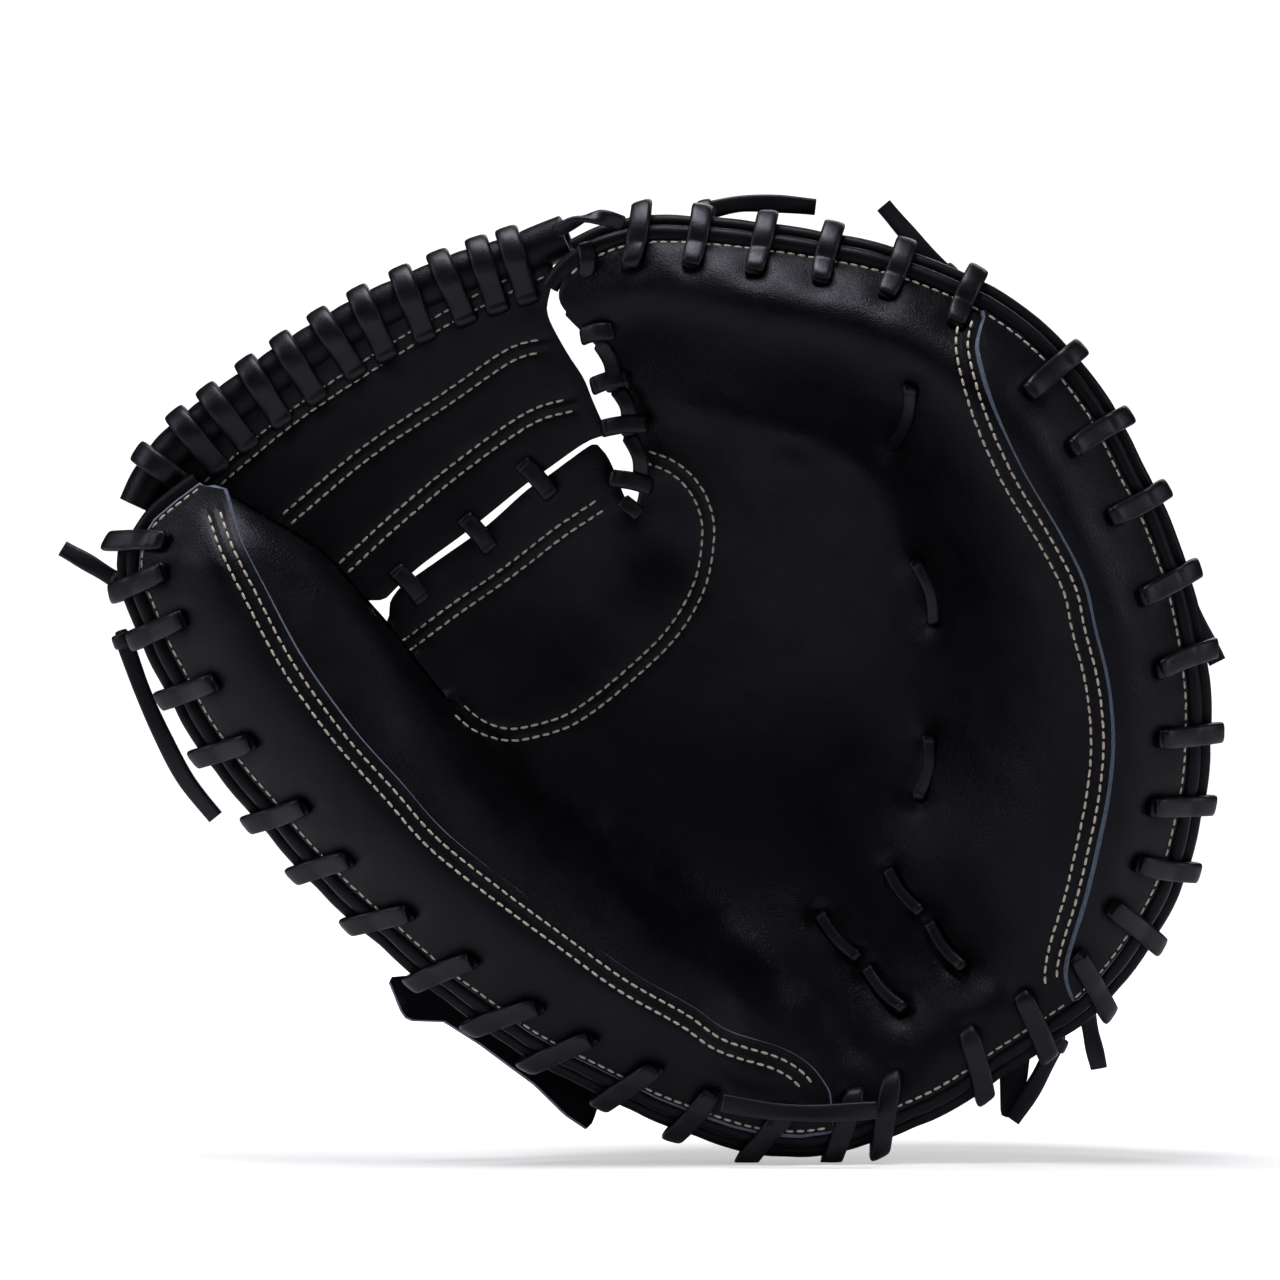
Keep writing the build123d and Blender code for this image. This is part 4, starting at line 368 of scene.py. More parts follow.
# creases in the palm: line, depth, width
PALM_CREASES = [
    ([(-51.58, 216.54), (-37.05, 213.98), (-12.54, 207.14), (4.84, 200.58), (14.25, 193.17)],
     1.4, 4.5),
    ([(15.67, 191.46), (21.09, 177.21), (23.94, 160.11)], 0.8, 5),
    (POCKET_TIES[0], 0.9, 5),
    ([(-54.43, 197.16), (-46.45, 182.91), (-48.73, 165.81)], 0.5, 5),
    ([(-37.33, 73.19), (-14.53, 55.23), (5.41, 37.56)], 0.7, 5),
    ([(-92.05, 116.79), (-80.37, 105.11), (-62.98, 92.28)], 0.9, 4),
    ([(-77.23, 120.21), (-54.43, 103.11), (-31.63, 86.01)], 0.4, 6),
    ([(26.79, 67.49), (36.76, 56.09), (51.01, 46.11)], 0.8, 4.5),
    ([(8.26, 56.09), (21.09, 43.26), (28.21, 34.71)], 0.8, 4.5),
    ([(-8.83, 46.11), (5.41, 33.29), (16.81, 26.16)], 0.8, 4),
]


# ---------------------------------------------------------------- lines
def unit(vectors):
    return vectors / np.linalg.norm(vectors, axis=-1, keepdims=True)


def tangents(line):
    return unit(np.gradient(np.array(line, float), axis=0))


def left_of(direction):
    return np.stack([-direction[..., 1], direction[..., 0]], -1)


def shifted(line, dist):
    """The line moved to its left."""
    return np.array(line, float) + left_of(tangents(line)) * dist


def lengths_along(line):
    steps = np.linalg.norm(np.diff(line, axis=0), axis=1)
    return np.concatenate([[0], np.cumsum(steps)])


def nearest(points, point):
    return int(np.linalg.norm(points - np.array(point), axis=1).argmin())


def raised(line, y):
    """3-D points over the (x, z) line at depth y."""
    return np.stack([line[:, 0], y, line[:, 1]], 1)


def resample(points, step, closed=False):
    line = np.array(points, float)
    if closed:
        line = np.vstack([line, line[:1]])
    gaps = np.linalg.norm(np.diff(line, axis=0), axis=1)
    line = line[np.concatenate([[True], gaps > 1e-6])]
    reach = lengths_along(line)
    count = max(2, int(round(reach[-1] / step)))
    at = np.linspace(0, reach[-1], count + 1)
    line = np.stack([np.interp(at, reach, column) for column in line.T], 1)
    return line[:-1] if closed else line


def curve(points, closed=False, per=8):
    """Catmull-Rom curve through the points, with per steps between each two."""
    p = np.array(points, float)
    count = len(p)
    t = np.linspace(0, 1, per, endpoint=False)[:, None]
    out = []
    for i in range(count if closed else count - 1):
        places = np.arange(i - 1, i + 3)
        a, b, c, d = p[places % count if closed else np.clip(places, 0, count - 1)]
        out.append(0.5 * (2 * b + (c - a) * t + (2 * a - 5 * b + 4 * c - d) * t**2
                          + (3 * b - a - 3 * c + d) * t**3))
    if not closed:
        out.append(p[-1:])
    return np.vstack(out)


def inside(outline, points):
    outline = np.array(outline, float)
    hit = np.zeros(len(points), bool)
    x, z = points[:, 0], points[:, 1]
    for (x0, z0), (x1, z1) in zip(outline, np.roll(outline, -1, axis=0)):
        if z0 != z1:
            hit ^= ((z0 > z) != (z1 > z)) & (x < (x1 - x0) * (z - z0) / (z1 - z0) + x0)
    return hit


def project(spots, starts, legs):
    """Nearest place on each leg: share of the leg, point and distance."""
    share = np.clip(((spots - starts) * legs).sum(-1) / (legs**2).sum(-1), 0, 1)
    feet = starts + share[..., None] * legs
    return share, feet, np.linalg.norm(spots - feet, axis=-1)


def line_distance(line, x, z):
    """Signed distance to a polyline, positive on its left, and the length along it."""
    line = np.array(line, float)
    places = np.stack([np.asarray(x, float), np.asarray(z, float)], -1)
    flat = places.reshape(-1, 2)
    starts, legs = line[:-1], np.diff(line, axis=0)
    leg_lengths, along = np.linalg.norm(legs, axis=1), lengths_along(line)
    dist, reach = np.empty(len(flat)), np.empty(len(flat))
    for first in range(0, len(flat), 4000):
        part = slice(first, first + 4000)
        share, _, gaps = project(flat[part, None, :], starts, legs)
        leg = gaps.argmin(-1)
        row = np.arange(len(leg))
        offset = flat[part] - starts[leg]
        side = legs[leg][:, 0] * offset[:, 1] - legs[leg][:, 1] * offset[:, 0]
        dist[part] = np.where(side > 0, gaps[row, leg], -gaps[row, leg])
        reach[part] = along[leg] + share[row, leg] * leg_lengths[leg]
    return dist.reshape(places.shape[:-1]), reach.reshape(places.shape[:-1])


# ---------------------------------------------------------------- base surfaces of the glove
HINGE_AXIS = unit(HINGE[1] - HINGE[0])
ACROSS = left_of(HINGE_AXIS)  # from the thumb wing towards the fingers


def spline_field(points):
    """Smooth depth field through (x, z, depth) points: a thin-plate spline in 100 mm units."""
    points = np.array(points, float)
    knots, count = points[:, :2] / 100.0, len(points)

    def kernel(places):
        gap = ((places[..., None, :] - knots) ** 2).sum(-1)
        return np.where(gap > 0, 0.5 * gap * np.log(np.maximum(gap, 1e-30)), 0.0)

    plane = np.hstack([np.ones((count, 1)), knots])
    system = np.vstack([
        np.hstack([kernel(knots) + 1e-4 * np.eye(count), plane]),
        np.hstack([plane.T, np.zeros((3, 3))]),
    ])
    weights = np.linalg.solve(system, np.concatenate([points[:, 2], np.zeros(3)]))

    def field(x, z):
        places = np.stack([np.asarray(x, float), np.asarray(z, float)], -1) / 100.0
        return kernel(places) @ weights[:count] + weights[count] + places @ weights[count + 1 :]

    return field


def across(x, z):
    """Distance from the break line, positive on the finger side."""
    return (np.asarray(x) - HINGE[0][0]) * ACROSS[0] + (np.asarray(z) - HINGE[0][1]) * ACROSS[1]


def rim_y(x, z):
    return -RIM_CURVE * (across(x, z) / 130.0) ** 2


def edge_drop(dist):
    """Share of the way down to the rim edge, going on a little outside the rim."""
    fall = 6.0
    beyond = 1 + (2 / EDGE_WIDTH) * fall * (1 - np.exp(np.minimum(dist, 0) / fall))
    return np.where(dist < 0, beyond, np.clip(1 - dist / EDGE_WIDTH, 0, 1) ** 2)


def wing_front(points, side):
    """Front of one wing; past the break the field is held at its value 8 mm over the line."""
    field = spline_field(points)

    def front(x, z):
        plane = rim_y(x, z)
        over = np.clip(-side * across(x, z) - 8.0, 0, None) * side
        x, z = x + over * ACROSS[0], z + over * ACROSS[1]
        depth = field(x, z)
        return plane + depth + (EDGE_DEPTH - depth) * edge_drop(line_distance(RIM, x, z)[0])

    return front


def from_rim(points):
    field = spline_field(points)
    return lambda x, z: rim_y(x, z) + field(x, z)


def rear_points(column, rim_depths):
    points = [(x, z, depths[column]) for x, z, *depths in REAR_PTS]
    for station in RIM_STATIONS:
        points += [(*station[2 * i : 2 * i + 2], depth) for i, depth in enumerate(rim_depths)]
    return points


finger_front = wing_front(FINGER_PTS, 1)
thumb_front = wing_front(THUMB_PTS, -1)
web_surface = from_rim(WEB_PTS)
pad_back = from_rim(rear_points(0, PAD_RIM_DEPTHS))
shell_back = from_rim(rear_points(1, SHELL_RIM_DEPTHS))
strap_back = from_rim(STRAP_PTS)


def low_or_web(x, z):
    return np.minimum(web_surface(x, z), finger_front(x, z))


def smooth01(t):
    t = np.clip(t, 0, 1)
    return t * t * (3 - 2 * t)


WAVE_LATTICE = np.random.default_rng(5).uniform(-1, 1, (4, 257, 257))


def waves(x, z, size, layer):
    """Smooth random field between -1 and 1 with bumps about size mm apart."""
    grid = WAVE_LATTICE[layer % 4]
    u = np.asarray(x, float) / size + 40.3 + 17 * layer
    v = np.asarray(z, float) / size + 21.7 + 9 * layer
    i, j = np.floor(u).astype(int), np.floor(v).astype(int)
    a, b = smooth01(u - i), smooth01(v - j)
    i, j = i % 256, j % 256
    near = grid[i, j] * (1 - a) + grid[i + 1, j] * a
    far = grid[i, j + 1] * (1 - a) + grid[i + 1, j + 1] * a
    return near * (1 - b) + far * b


def grooves(x, z, lines, depth, width):
    cut = np.zeros(np.shape(x))
    for line in lines:
        cut = np.maximum(cut, depth * np.exp(-((line_distance(line, x, z)[0] / width) ** 2)))
    return cut


def pits(x, z, points, depth, width):
    cut = np.zeros(np.shape(x))
    for px, pz in points:
        cut = np.maximum(cut, depth * np.exp(-((x - px) ** 2 + (z - pz) ** 2) / width**2))
    return cut


def crease(x, z, line, depth, width):
    """A groove that fades out 9 mm from its ends."""
    dist, reach = line_distance(line, x, z)
    ends = smooth01(reach / 9) * smooth01((lengths_along(line)[-1] - reach) / 9)
    return depth * ends * np.exp(-((dist / width) ** 2))


# ---------------------------------------------------------------- meshes
BLEND_START, BLEND_END = (
    tuple(np.array([x, -2.0, z]) * MM)
    for x, z in (HINGE.mean(0) + ACROSS * 12, HINGE.mean(0) - ACROSS * 12)
)


class Parts:
    """Collects pieces of mesh, in mm, into one object."""

    def __init__(self):
        self.verts, self.faces, self.slots, self.smooth = [], [], [], []
        self.count = 0

    def add(self, verts, faces, slot=0, smooth=True):
        self.verts.append(np.asarray(verts, float))
        self.faces += [tuple(int(i) + self.count for i in face) for face in faces]
        self.slots += [slot] * len(faces)
        self.smooth += [smooth] * len(faces)
        self.count += len(verts)

    def keep_above_floor(self):
        for verts in self.verts:
            verts[:, 2] = np.maximum(verts[:, 2], 0.0)

    def make(self, name, materials, slot, body=None, replaces=()):
        """Makes the object; without a body it is attached to none, and its transform is baked."""
        mesh = bpy.data.meshes.new(name)
        mesh.from_pydata([tuple(v) for v in np.vstack(self.verts) * MM], [], self.faces)
        for material in materials:
            mesh.materials.append(material)
        mesh.polygons.foreach_set("material_index", np.array(self.slots, np.int32))
        mesh.polygons.foreach_set("use_smooth", np.array(self.smooth, bool))
        mesh.update()
        piece = bpy.data.objects.new(name, mesh)
        bpy.context.scene.collection.objects.link(piece)
        if body is None:
            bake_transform(piece)
            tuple(BLEND_START)
            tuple(BLEND_END)
        else:
            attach(piece, body)
        if replaces:
            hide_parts(*replaces)


def least_gap(points, others):
    gaps = np.empty(len(points))
    for first in range(0, len(points), 2000):
        part = slice(first, first + 2000)
        gaps[part] = np.sqrt(((points[part, None] - others[None]) ** 2).sum(-1).min(1))
    return gaps


def triangulate(outline, holes, step, extra):
    """Points and triangles filling an outline, counter-clockwise in (x, z)."""
    rings = [resample(outline, step * 0.75, True)]
    rings += [resample(hole, min(step * 0.6, 1.5), True) for hole in holes]

    def filled(places):
        keep = inside(rings[0], places)
        for ring in rings[1:]:
            keep &= ~inside(ring, places)
        return keep

    edges, first = [], 0
    for ring in rings:
        edges += [(first + i, first + (i + 1) % len(ring)) for i in range(len(ring))]
        first += len(ring)
    border = np.vstack(rings)
    low, high = border.min(0), border.max(0)
    x, z = np.meshgrid(np.arange(low[0], high[0], step), np.arange(low[1], high[1], step * 0.866))
    x[1::2] += step / 2
    grid = np.stack([x.ravel(), z.ravel()], 1)
    grid += np.random.default_rng(3).uniform(-0.12, 0.12, grid.shape) * step
    groups = [(grid, 0.5 * step)]  # points, and the room they leave to the border
    if extra is not None:
        groups = [(grid[least_gap(grid, extra) > 0.7 * step], 0.5 * step), (extra, 0.35)]
    points = [border]
    for group, room in groups:
        group = group[filled(group)]
        points.append(group[least_gap(group, border) > room])
    flat = [Vector((float(x), float(z))) for x, z in np.vstack(points)]
    result = delaunay_2d_cdt(flat, edges, [], 0, 1e-4)
    points = np.array([tuple(v) for v in result[0]])
    triangles = np.array([face for face in result[2] if len(face) == 3])
    triangles = triangles[filled(points[triangles].mean(1))]
    a, b, c = points[triangles].transpose(1, 0, 2)
    area = (b[:, 0] - a[:, 0]) * (c[:, 1] - a[:, 1]) - (b[:, 1] - a[:, 1]) * (c[:, 0] - a[:, 0])
    real = np.abs(area) > 1e-5
    triangles, area = triangles[real], area[real]
    triangles[area < 0] = triangles[area < 0][:, ::-1]
    return points, triangles


def open_edges(triangles):
    seen = {}
    for corners in triangles:
        for i in range(3):
            a, b = int(corners[i]), int(corners[(i + 1) % 3])
            if (b, a) in seen:
                del seen[(b, a)]
            else:
                seen[(a, b)] = True
    return list(seen)


def slope_normals(surface, points, reach=0.4):
    """Unit normals of y = surface(x, z), pointing to the back."""
    x, z = points.T
    slope_x = (surface(x + reach, z) - surface(x - reach, z)) / (2 * reach)
    slope_z = (surface(x, z + reach) - surface(x, z - reach)) / (2 * reach)
    return unit(np.stack([-slope_x, np.ones(len(points)), -slope_z], 1))


def sheet(name, outline, surface, thick, materials, slot, body=None, replaces=(), *, step,
          holes=(), extra=None, bevel=0.35, rear_bevel=True, fluff=None, flare=0.0):
    """Sheet with its front at y = surface(x, z) and a cut edge of the second material.

    extra are added mesh points, fluff an uneven front, flare widens the rear face.
    """
    points, triangles = triangulate(outline, holes, step, extra)
    y = surface(*points.T)
    if fluff is not None:
        y = y + fluff(*points.T)
    front = raised(points, y)
    normal = unit(slope_normals(surface, points) * (0.55, 1, 0.55))
    rear = front + normal * thick
    border = open_edges(triangles)
    on = sorted({i for edge in border for i in edge})
    front[on] += normal[on] * bevel
    if rear_bevel:
        rear[on] -= normal[on] * bevel
    if flare:
        push = np.zeros((len(points), 2))
        for a, b in border:
            outward = -left_of(points[b] - points[a])
            outward /= max(np.linalg.norm(outward), 1e-9)
            push[a] += outward
            push[b] += outward
        push[on] /= np.maximum(np.linalg.norm(push[on], axis=1), 1e-9)[:, None]
        rear[:, ::2] += push * flare
    parts = Parts()
    parts.add(front, triangles)
    parts.add(rear, triangles[:, ::-1])
    place, count = {i: k for k, i in enumerate(on)}, len(on)
    wall = [(place[b], place[a], place[a] + count, place[b] + count) for a, b in border]
    parts.add(np.vstack([front[on], rear[on]]), wall, 1)
    parts.make(name, materials, slot, body, replaces)


def tube_faces(rings, sides, closed=False, along_first=False):
    """Quads between rings; along_first winds them the other way round."""
    faces = []
    for i in range(rings if closed else rings - 1):
        here, there = i * sides, (i + 1) % rings * sides
        for a in range(sides):
            b = (a + 1) % sides
            quad = (here + a, here + b, there + b, there + a)
            faces.append(quad[:1] + quad[:0:-1] if along_first else quad)
    return faces


def rings_around(path, side, up, radius, sides):
    """Rings of points; radius has one row per path point."""
    angle = np.linspace(0, 2 * math.pi, sides, endpoint=False)[:, None]
    side = np.broadcast_to(side, path.shape)[:, None]
    up = np.broadcast_to(up, path.shape)[:, None]
    return path[:, None] + (np.cos(angle) * side + np.sin(angle) * up) * radius[..., None]


def sweep(parts, path, side, width, thick, closed=False, scale=None, end_slot=0, power=3.2,
          sides=14, round_ends=False):
    """Strip along a 3-D path. side is the direction of its width, one vector or one per point.

    The section is a superellipse; scale holds width or (width, thickness) factors per point.
    """
    count = len(path)
    along = np.roll(path, -1, 0) - np.roll(path, 1, 0) if closed else np.gradient(path, axis=0)
    along = unit(along)
    side = np.broadcast_to(np.array(side, float), path.shape)
    side = unit(side - (side * along).sum(1)[:, None] * along)
    up = np.cross(side, along)
    angle = np.linspace(0, 2 * math.pi, sides, endpoint=False)
    c, s = (np.sign(f) * np.abs(f) ** (2 / power) for f in (np.cos(angle), np.sin(angle)))
    factors = np.ones((count, 2))
    if scale is not None:
        factors = np.array(scale, float).reshape(count, -1) * factors
    if round_ends:
        factors[[0, -1]] *= 0.62
    wide = (c * width / 2)[None, :, None] * factors[:, None, :1]
    deep = (s * thick / 2)[None, :, None] * factors[:, None, 1:]
    verts = (path[:, None] + side[:, None] * wide + up[:, None] * deep).reshape(-1, 3)
    parts.add(verts, tube_faces(count, sides, closed, along_first=True))
    if not closed:
        parts.add(verts[:sides], [range(sides)], end_slot, False)
        parts.add(verts[-sides:], [range(sides)[::-1]], end_slot, False)


def stitch_row(parts, line, surface, front=-1.0):
    """Lock stitches along a line; front is -1 on front surfaces and +1 on rear ones."""
    line = resample(line, 0.4)
    reach = lengths_along(line)
    spans, swell = np.array(STITCH_BODY).T
    rings = len(spans)
    last = (rings - 1) * STITCH_SIDES
    faces = tube_faces(rings, STITCH_SIDES)
    faces += [range(STITCH_SIDES)[::-1], range(last, last + STITCH_SIDES)]
    sink = np.array([1.5, 0.35, 0, 0, 0.35, 1.5]) * STITCH_R
    count = int((reach[-1] - STITCH_START) / STITCH_PITCH)
    for centre in STITCH_START + STITCH_PITCH * (np.arange(count) + 0.5):
        at = centre + spans * STITCH_LENGTH * RNG.uniform(0.93, 1.04)
        x, z = (np.interp(at, reach, column) for column in line.T)
        lean = RNG.uniform(-0.05, 0.05) * STITCH_LENGTH
        along = np.array([x[-1] - x[0], z[-1] - z[0]])
        along /= max(np.linalg.norm(along), 1e-6)
        off = np.linspace(-lean, lean, rings)
        x, z = x - along[1] * off, z + along[0] * off
        y = surface(x, z) + front * (STITCH_R * 0.55 - STITCH_SINK - sink)
        path = np.stack([x, y, z], 1)
        side = np.array([-along[1], 0, along[0]])
        up = np.cross(side, tangents(path))
        body = rings_around(path, side, up, (STITCH_R * swell)[:, None], STITCH_SIDES)
        parts.add(body.reshape(-1, 3), faces)


def row_points(lines, half, step):
    """Mesh points laid beside stitch rows, so that the groove shows in the surface."""
    return np.vstack([
        shifted(resample(line, step), dist)
        for line in lines
        for dist in (-half, -half / 2, 0, half / 2, half)
    ])


# ---------------------------------------------------------------- materials
def set_inputs(tree, node, inputs):
    """Sets input values, or links the inputs given as sockets."""
    for name, value in inputs.items():
        if isinstance(value, bpy.types.NodeSocket):
            tree.links.new(value, node.inputs[name])
        else:
            node.inputs[name].default_value = value


def add_node(tree, kind, inputs=None, **settings):
    node = tree.nodes.new(kind)
    for name, value in settings.items():
        setattr(node, name, value)
    set_inputs(tree, node, inputs or {})
    return node


def new_material(name):
    material = bpy.data.materials.new(name)
    material.use_nodes = True
    return material, material.node_tree, material.node_tree.nodes["Principled BSDF"]


def noise(tree, vector, scale, detail, **more):
    inputs = {"Vector": vector, "Scale": scale, "Detail": detail}
    inputs.update({name.capitalize(): value for name, value in more.items()})
    return add_node(tree, "ShaderNodeTexNoise", inputs)


def map_range(tree, value, **limits):
    """Limits are from_min, from_max, to_min and to_max."""
    inputs = {name.replace("_", " ").title(): limit for name, limit in limits.items()}
    node = add_node(tree, "ShaderNodeMapRange", {"Value": value, **inputs})
    return node.outputs["Result"]


def two_tones(tree, pattern, dark, light, low, high):
    inputs = {
        "A": (*dark, 1), "B": (*light, 1),
        "Factor": map_range(tree, pattern.outputs["Fac"], from_min=low, from_max=high),
    }
    return add_node(tree, "ShaderNodeMix", inputs, data_type="RGBA").outputs["Result"]


def bump_node(tree, height, strength, distance, **more):
    inputs = {"Strength": strength, "Distance": distance, "Height": height}
    inputs.update({name.capitalize(): value for name, value in more.items()})
    return add_node(tree, "ShaderNodeBump", inputs).outputs["Normal"]


def leather(name, dark, light, roughness, grain=950.0, bump=0.22, specular=0.18):
    """Mottled leather with a warped cell grain and fine wrinkles."""
    material, tree, bsdf = new_material(name)
    coords = add_node(tree, "ShaderNodeTexCoord").outputs["Object"]
    mottle = noise(tree, coords, scale=26.0, detail=4.0, roughness=0.55)
    polish = noise(tree, coords, scale=90.0, detail=5.0, roughness=0.6)
    warp = noise(tree, coords, scale=320.0, detail=3.0)
    shift = add_node(tree, "ShaderNodeVectorMath", {
        0: warp.outputs["Color"], 1: (0.0016, 0.0016, 0.0016), 2: coords,
    }, operation="MULTIPLY_ADD")
    cells = add_node(tree, "ShaderNodeTexVoronoi", {
        "Scale": grain, "Vector": shift.outputs[0],
    }, feature="DISTANCE_TO_EDGE")
    wrinkles = noise(tree, coords, scale=420.0, detail=6.0, roughness=0.65)
    cell_height = map_range(tree, cells.outputs["Distance"], from_max=0.12)
    grained = bump_node(tree, cell_height, strength=bump, distance=0.00018)
    set_inputs(tree, bsdf, {
        "Base Color": two_tones(tree, mottle, dark, light, low=0.38, high=0.66),
        "Roughness": map_range(tree, polish.outputs["Fac"], from_min=0.35, from_max=0.68,
                               to_min=roughness[0], to_max=roughness[1]),
        "Normal": bump_node(tree, wrinkles.outputs["Fac"], strength=0.35, distance=0.00025,
                            normal=grained),
        "Specular IOR Level": specular,
        "Specular Tint": (0.86, 0.84, 1.0, 1),
        "Sheen Weight": 0.0,
        "Sheen Roughness": 0.5,
        "Sheen Tint": (0.72, 0.68, 0.9, 1),
        "Coat Weight": 0.0,
        "Coat Roughness": 0.35,
    })
    return material


def plain(name, dark, light, roughness, scale, bump, distance, sheen=0.0, specular=0.3):
    """Two tones and a bump from one noise."""
    material, tree, bsdf = new_material(name)
    coords = add_node(tree, "ShaderNodeTexCoord").outputs["Object"]
    pattern = noise(tree, coords, scale=scale, detail=5.0, roughness=0.65)
    set_inputs(tree, bsdf, {
        "Base Color": two_tones(tree, pattern, dark, light, low=0.35, high=0.65),
        "Roughness": roughness,
        "Normal": bump_node(tree, pattern.outputs["Fac"], bump, distance),
        "Sheen Weight": sheen,
        "Specular IOR Level": specular,
    })
    return material


SHELL = leather("shell_leather", dark=(0.0009, 0.0009, 0.0014), light=(0.0028, 0.0027, 0.0040),
                roughness=(0.34, 0.48))
PANEL = leather("panel_leather", dark=(0.0010, 0.0010, 0.0016), light=(0.0031, 0.0030, 0.0044),
                roughness=(0.35, 0.49))
WEB = leather("web_leather", dark=(0.0010, 0.0010, 0.0015), light=(0.0031, 0.0030, 0.0043),
              roughness=(0.35, 0.49))
STRAP = leather("strap_leather", dark=(0.0020, 0.0020, 0.0028), light=(0.0050, 0.0048, 0.0068),
                roughness=(0.46, 0.6))
LACE = leather("rawhide_lace", dark=(0.0014, 0.0014, 0.0020), light=(0.0036, 0.0035, 0.0048),
               roughness=(0.34, 0.46), grain=1500.0, bump=0.12, specular=0.34)
BINDING = leather("binding_leather", dark=(0.0012, 0.0012, 0.0018), light=(0.0034, 0.0033, 0.0046),
                  roughness=(0.38, 0.52), grain=1300.0, bump=0.15)
LINER = leather("lining_leather", dark=(0.010, 0.010, 0.012), light=(0.020, 0.019, 0.022),
                roughness=(0.6, 0.75), grain=1400.0, bump=0.15, specular=0.3)
RAW = plain("raw_edge", dark=(0.075, 0.098, 0.140), light=(0.165, 0.205, 0.275),
            roughness=0.8, scale=900.0, bump=0.4, distance=0.0002)
RAW_DARK = plain("dark_edge", dark=(0.012, 0.014, 0.018), light=(0.028, 0.032, 0.042),
                 roughness=0.8, scale=900.0, bump=0.4, distance=0.0002)
THREAD = plain("thread", dark=(0.42, 0.38, 0.31), light=(0.66, 0.60, 0.50),
               roughness=0.62, scale=1600.0, bump=0.5, distance=0.00015)
THREAD_DARK = plain("thread_dark", dark=(0.02, 0.02, 0.025), light=(0.035, 0.035, 0.04),
                    roughness=0.6, scale=1600.0, bump=0.5, distance=0.00015)
FELT = plain("felt", dark=(0.03, 0.03, 0.03), light=(0.055, 0.053, 0.05), roughness=0.95,
             scale=700.0, bump=0.6, distance=0.0006, sheen=0.2, specular=0.1)
FLEECE = plain("fleece", dark=(0.012, 0.012, 0.014), light=(0.030, 0.030, 0.034), roughness=0.97,
               scale=520.0, bump=0.8, distance=0.0012, sheen=0.4, specular=0.1)


# ---------------------------------------------------------------- outlines and rows
def rim_line(outwards, first=0, last=None):
    return RIM[first:last] - left_of(tangents(RIM))[first:last] * outwards


def row_pair(line, offset):
    return [shifted(line, offset), shifted(line, -offset)]


RIDGE_CURVE = curve(RIDGE, per=6)
FOLD = np.vstack([RIDGE_CURVE, curve([RIDGE[-1]] + FOLD_ON, per=5)[1:]])
FOLD_END = lengths_along(RIDGE_CURVE)[-1]
EDGE_CURVE = curve(FINGER_EDGE, per=5)
OPENING = curve(HAND_OPENING, closed=True, per=4)
THUMB_CURVE, PINKY_CURVE = curve(THUMB_SEAM, per=6), curve(PINKY_SEAM, per=6)
ROLL_CURVE = curve(ROLL_LINE, per=8)

# rim points where the panel seams end
HEEL_RIM = nearest(RIM, THUMB_SEAM[-1])
PINKY_LOW, PINKY_HIGH = nearest(RIM, PINKY_SEAM[-1]), nearest(RIM, PINKY_SEAM[0])
THUMB_OUTLINE = np.vstack([rim_line(1.0, 0, HEEL_RIM + 1), THUMB_CURVE[::-1]])
PINKY_OUTLINE = np.vstack([PINKY_CURVE[1:-1], rim_line(1.0, PINKY_LOW, PINKY_HIGH + 1)])

RIM_ROWS = [rim_line(0.0)]
PALM_ROWS = [
    curve(row, per=4) for line in (POCKET_ARC, SLIT_ROW) for row in row_pair(resample(line, 9), 1.7)
]
THUMB_ROWS = [shifted(resample(THUMB_CURVE, 2.5), -d)[2:-1] for d in (2.9, 6.3)]
PINKY_ROWS = [shifted(resample(PINKY_CURVE, 2.5), -d)[1:-2] for d in (3.2, 6.6)]
WEB_ROWS = [row for line in WEB_ROW_LINES for row in row_pair(curve(line, per=6), 1.8)]
HOLES = [hole for _, hole in LOOPS]
TIE_LINES = POCKET_TIES + HEEL_TIES
TIE_ENDS = [end for pair in TIE_LINES for end in pair]


def wrap_frames():
    """Centre, direction along the roll and direction down into the web, for each lace wrap."""
    line = resample(ROLL_CURVE, 1.0)
    along = tangents(line)
    for place in WRAPS:
        i = nearest(line, place)
        yield line[i], along[i], -left_of(along[i])


FRAMES = list(wrap_frames())
WRAP_HOLES = [centre + down * WRAP_DROP for centre, _, down in FRAMES]


# ---------------------------------------------------------------- finished surfaces
def palm_base(x, z):
    """Front of the palm hide: both wings joined over the break, folded over at the ridge."""
    dist, reach = line_distance(FOLD, x, z)
    width = 0.5 + 14 * smooth01((reach - FOLD_END) / 55)
    share = smooth01(0.5 + dist / (2 * width))
    y = finger_front(x, z) * share + thumb_front(x, z) * (1 - share)
    near = np.clip(-dist, 0, FOLD_ROUND)
    drop = FOLD_ROUND - np.sqrt(np.maximum(FOLD_ROUND**2 - (FOLD_ROUND - near) ** 2, 0))
    return y + drop * (1 - smooth01((reach - FOLD_END + 12) / 26)) * (dist < 0)


def hide_waves(x, z):
    long_waves = 0.32 * waves(x, z, 17, 0) + 0.14 * waves(x * 1.3 + z * 0.4, z, 7, 1)
    return long_waves + 0.05 * waves(x, z, 3.1, 2)


def palm_surface(x, z):
    y = palm_base(x, z) + hide_waves(x, z)
    y = y + grooves(x, z, TIE_LINES, depth=1.1, width=3.0)
    y = y + grooves(x, z, RIM_ROWS + PALM_ROWS, depth=0.38, width=0.9)
    y = y + pits(x, z, HOLES, depth=1.5, width=3.8) + pits(x, z, TIE_ENDS, depth=2.2, width=3.6)
    for line, depth, width in PALM_CREASES:
        y = y + crease(x, z, line, depth, width)
    return y


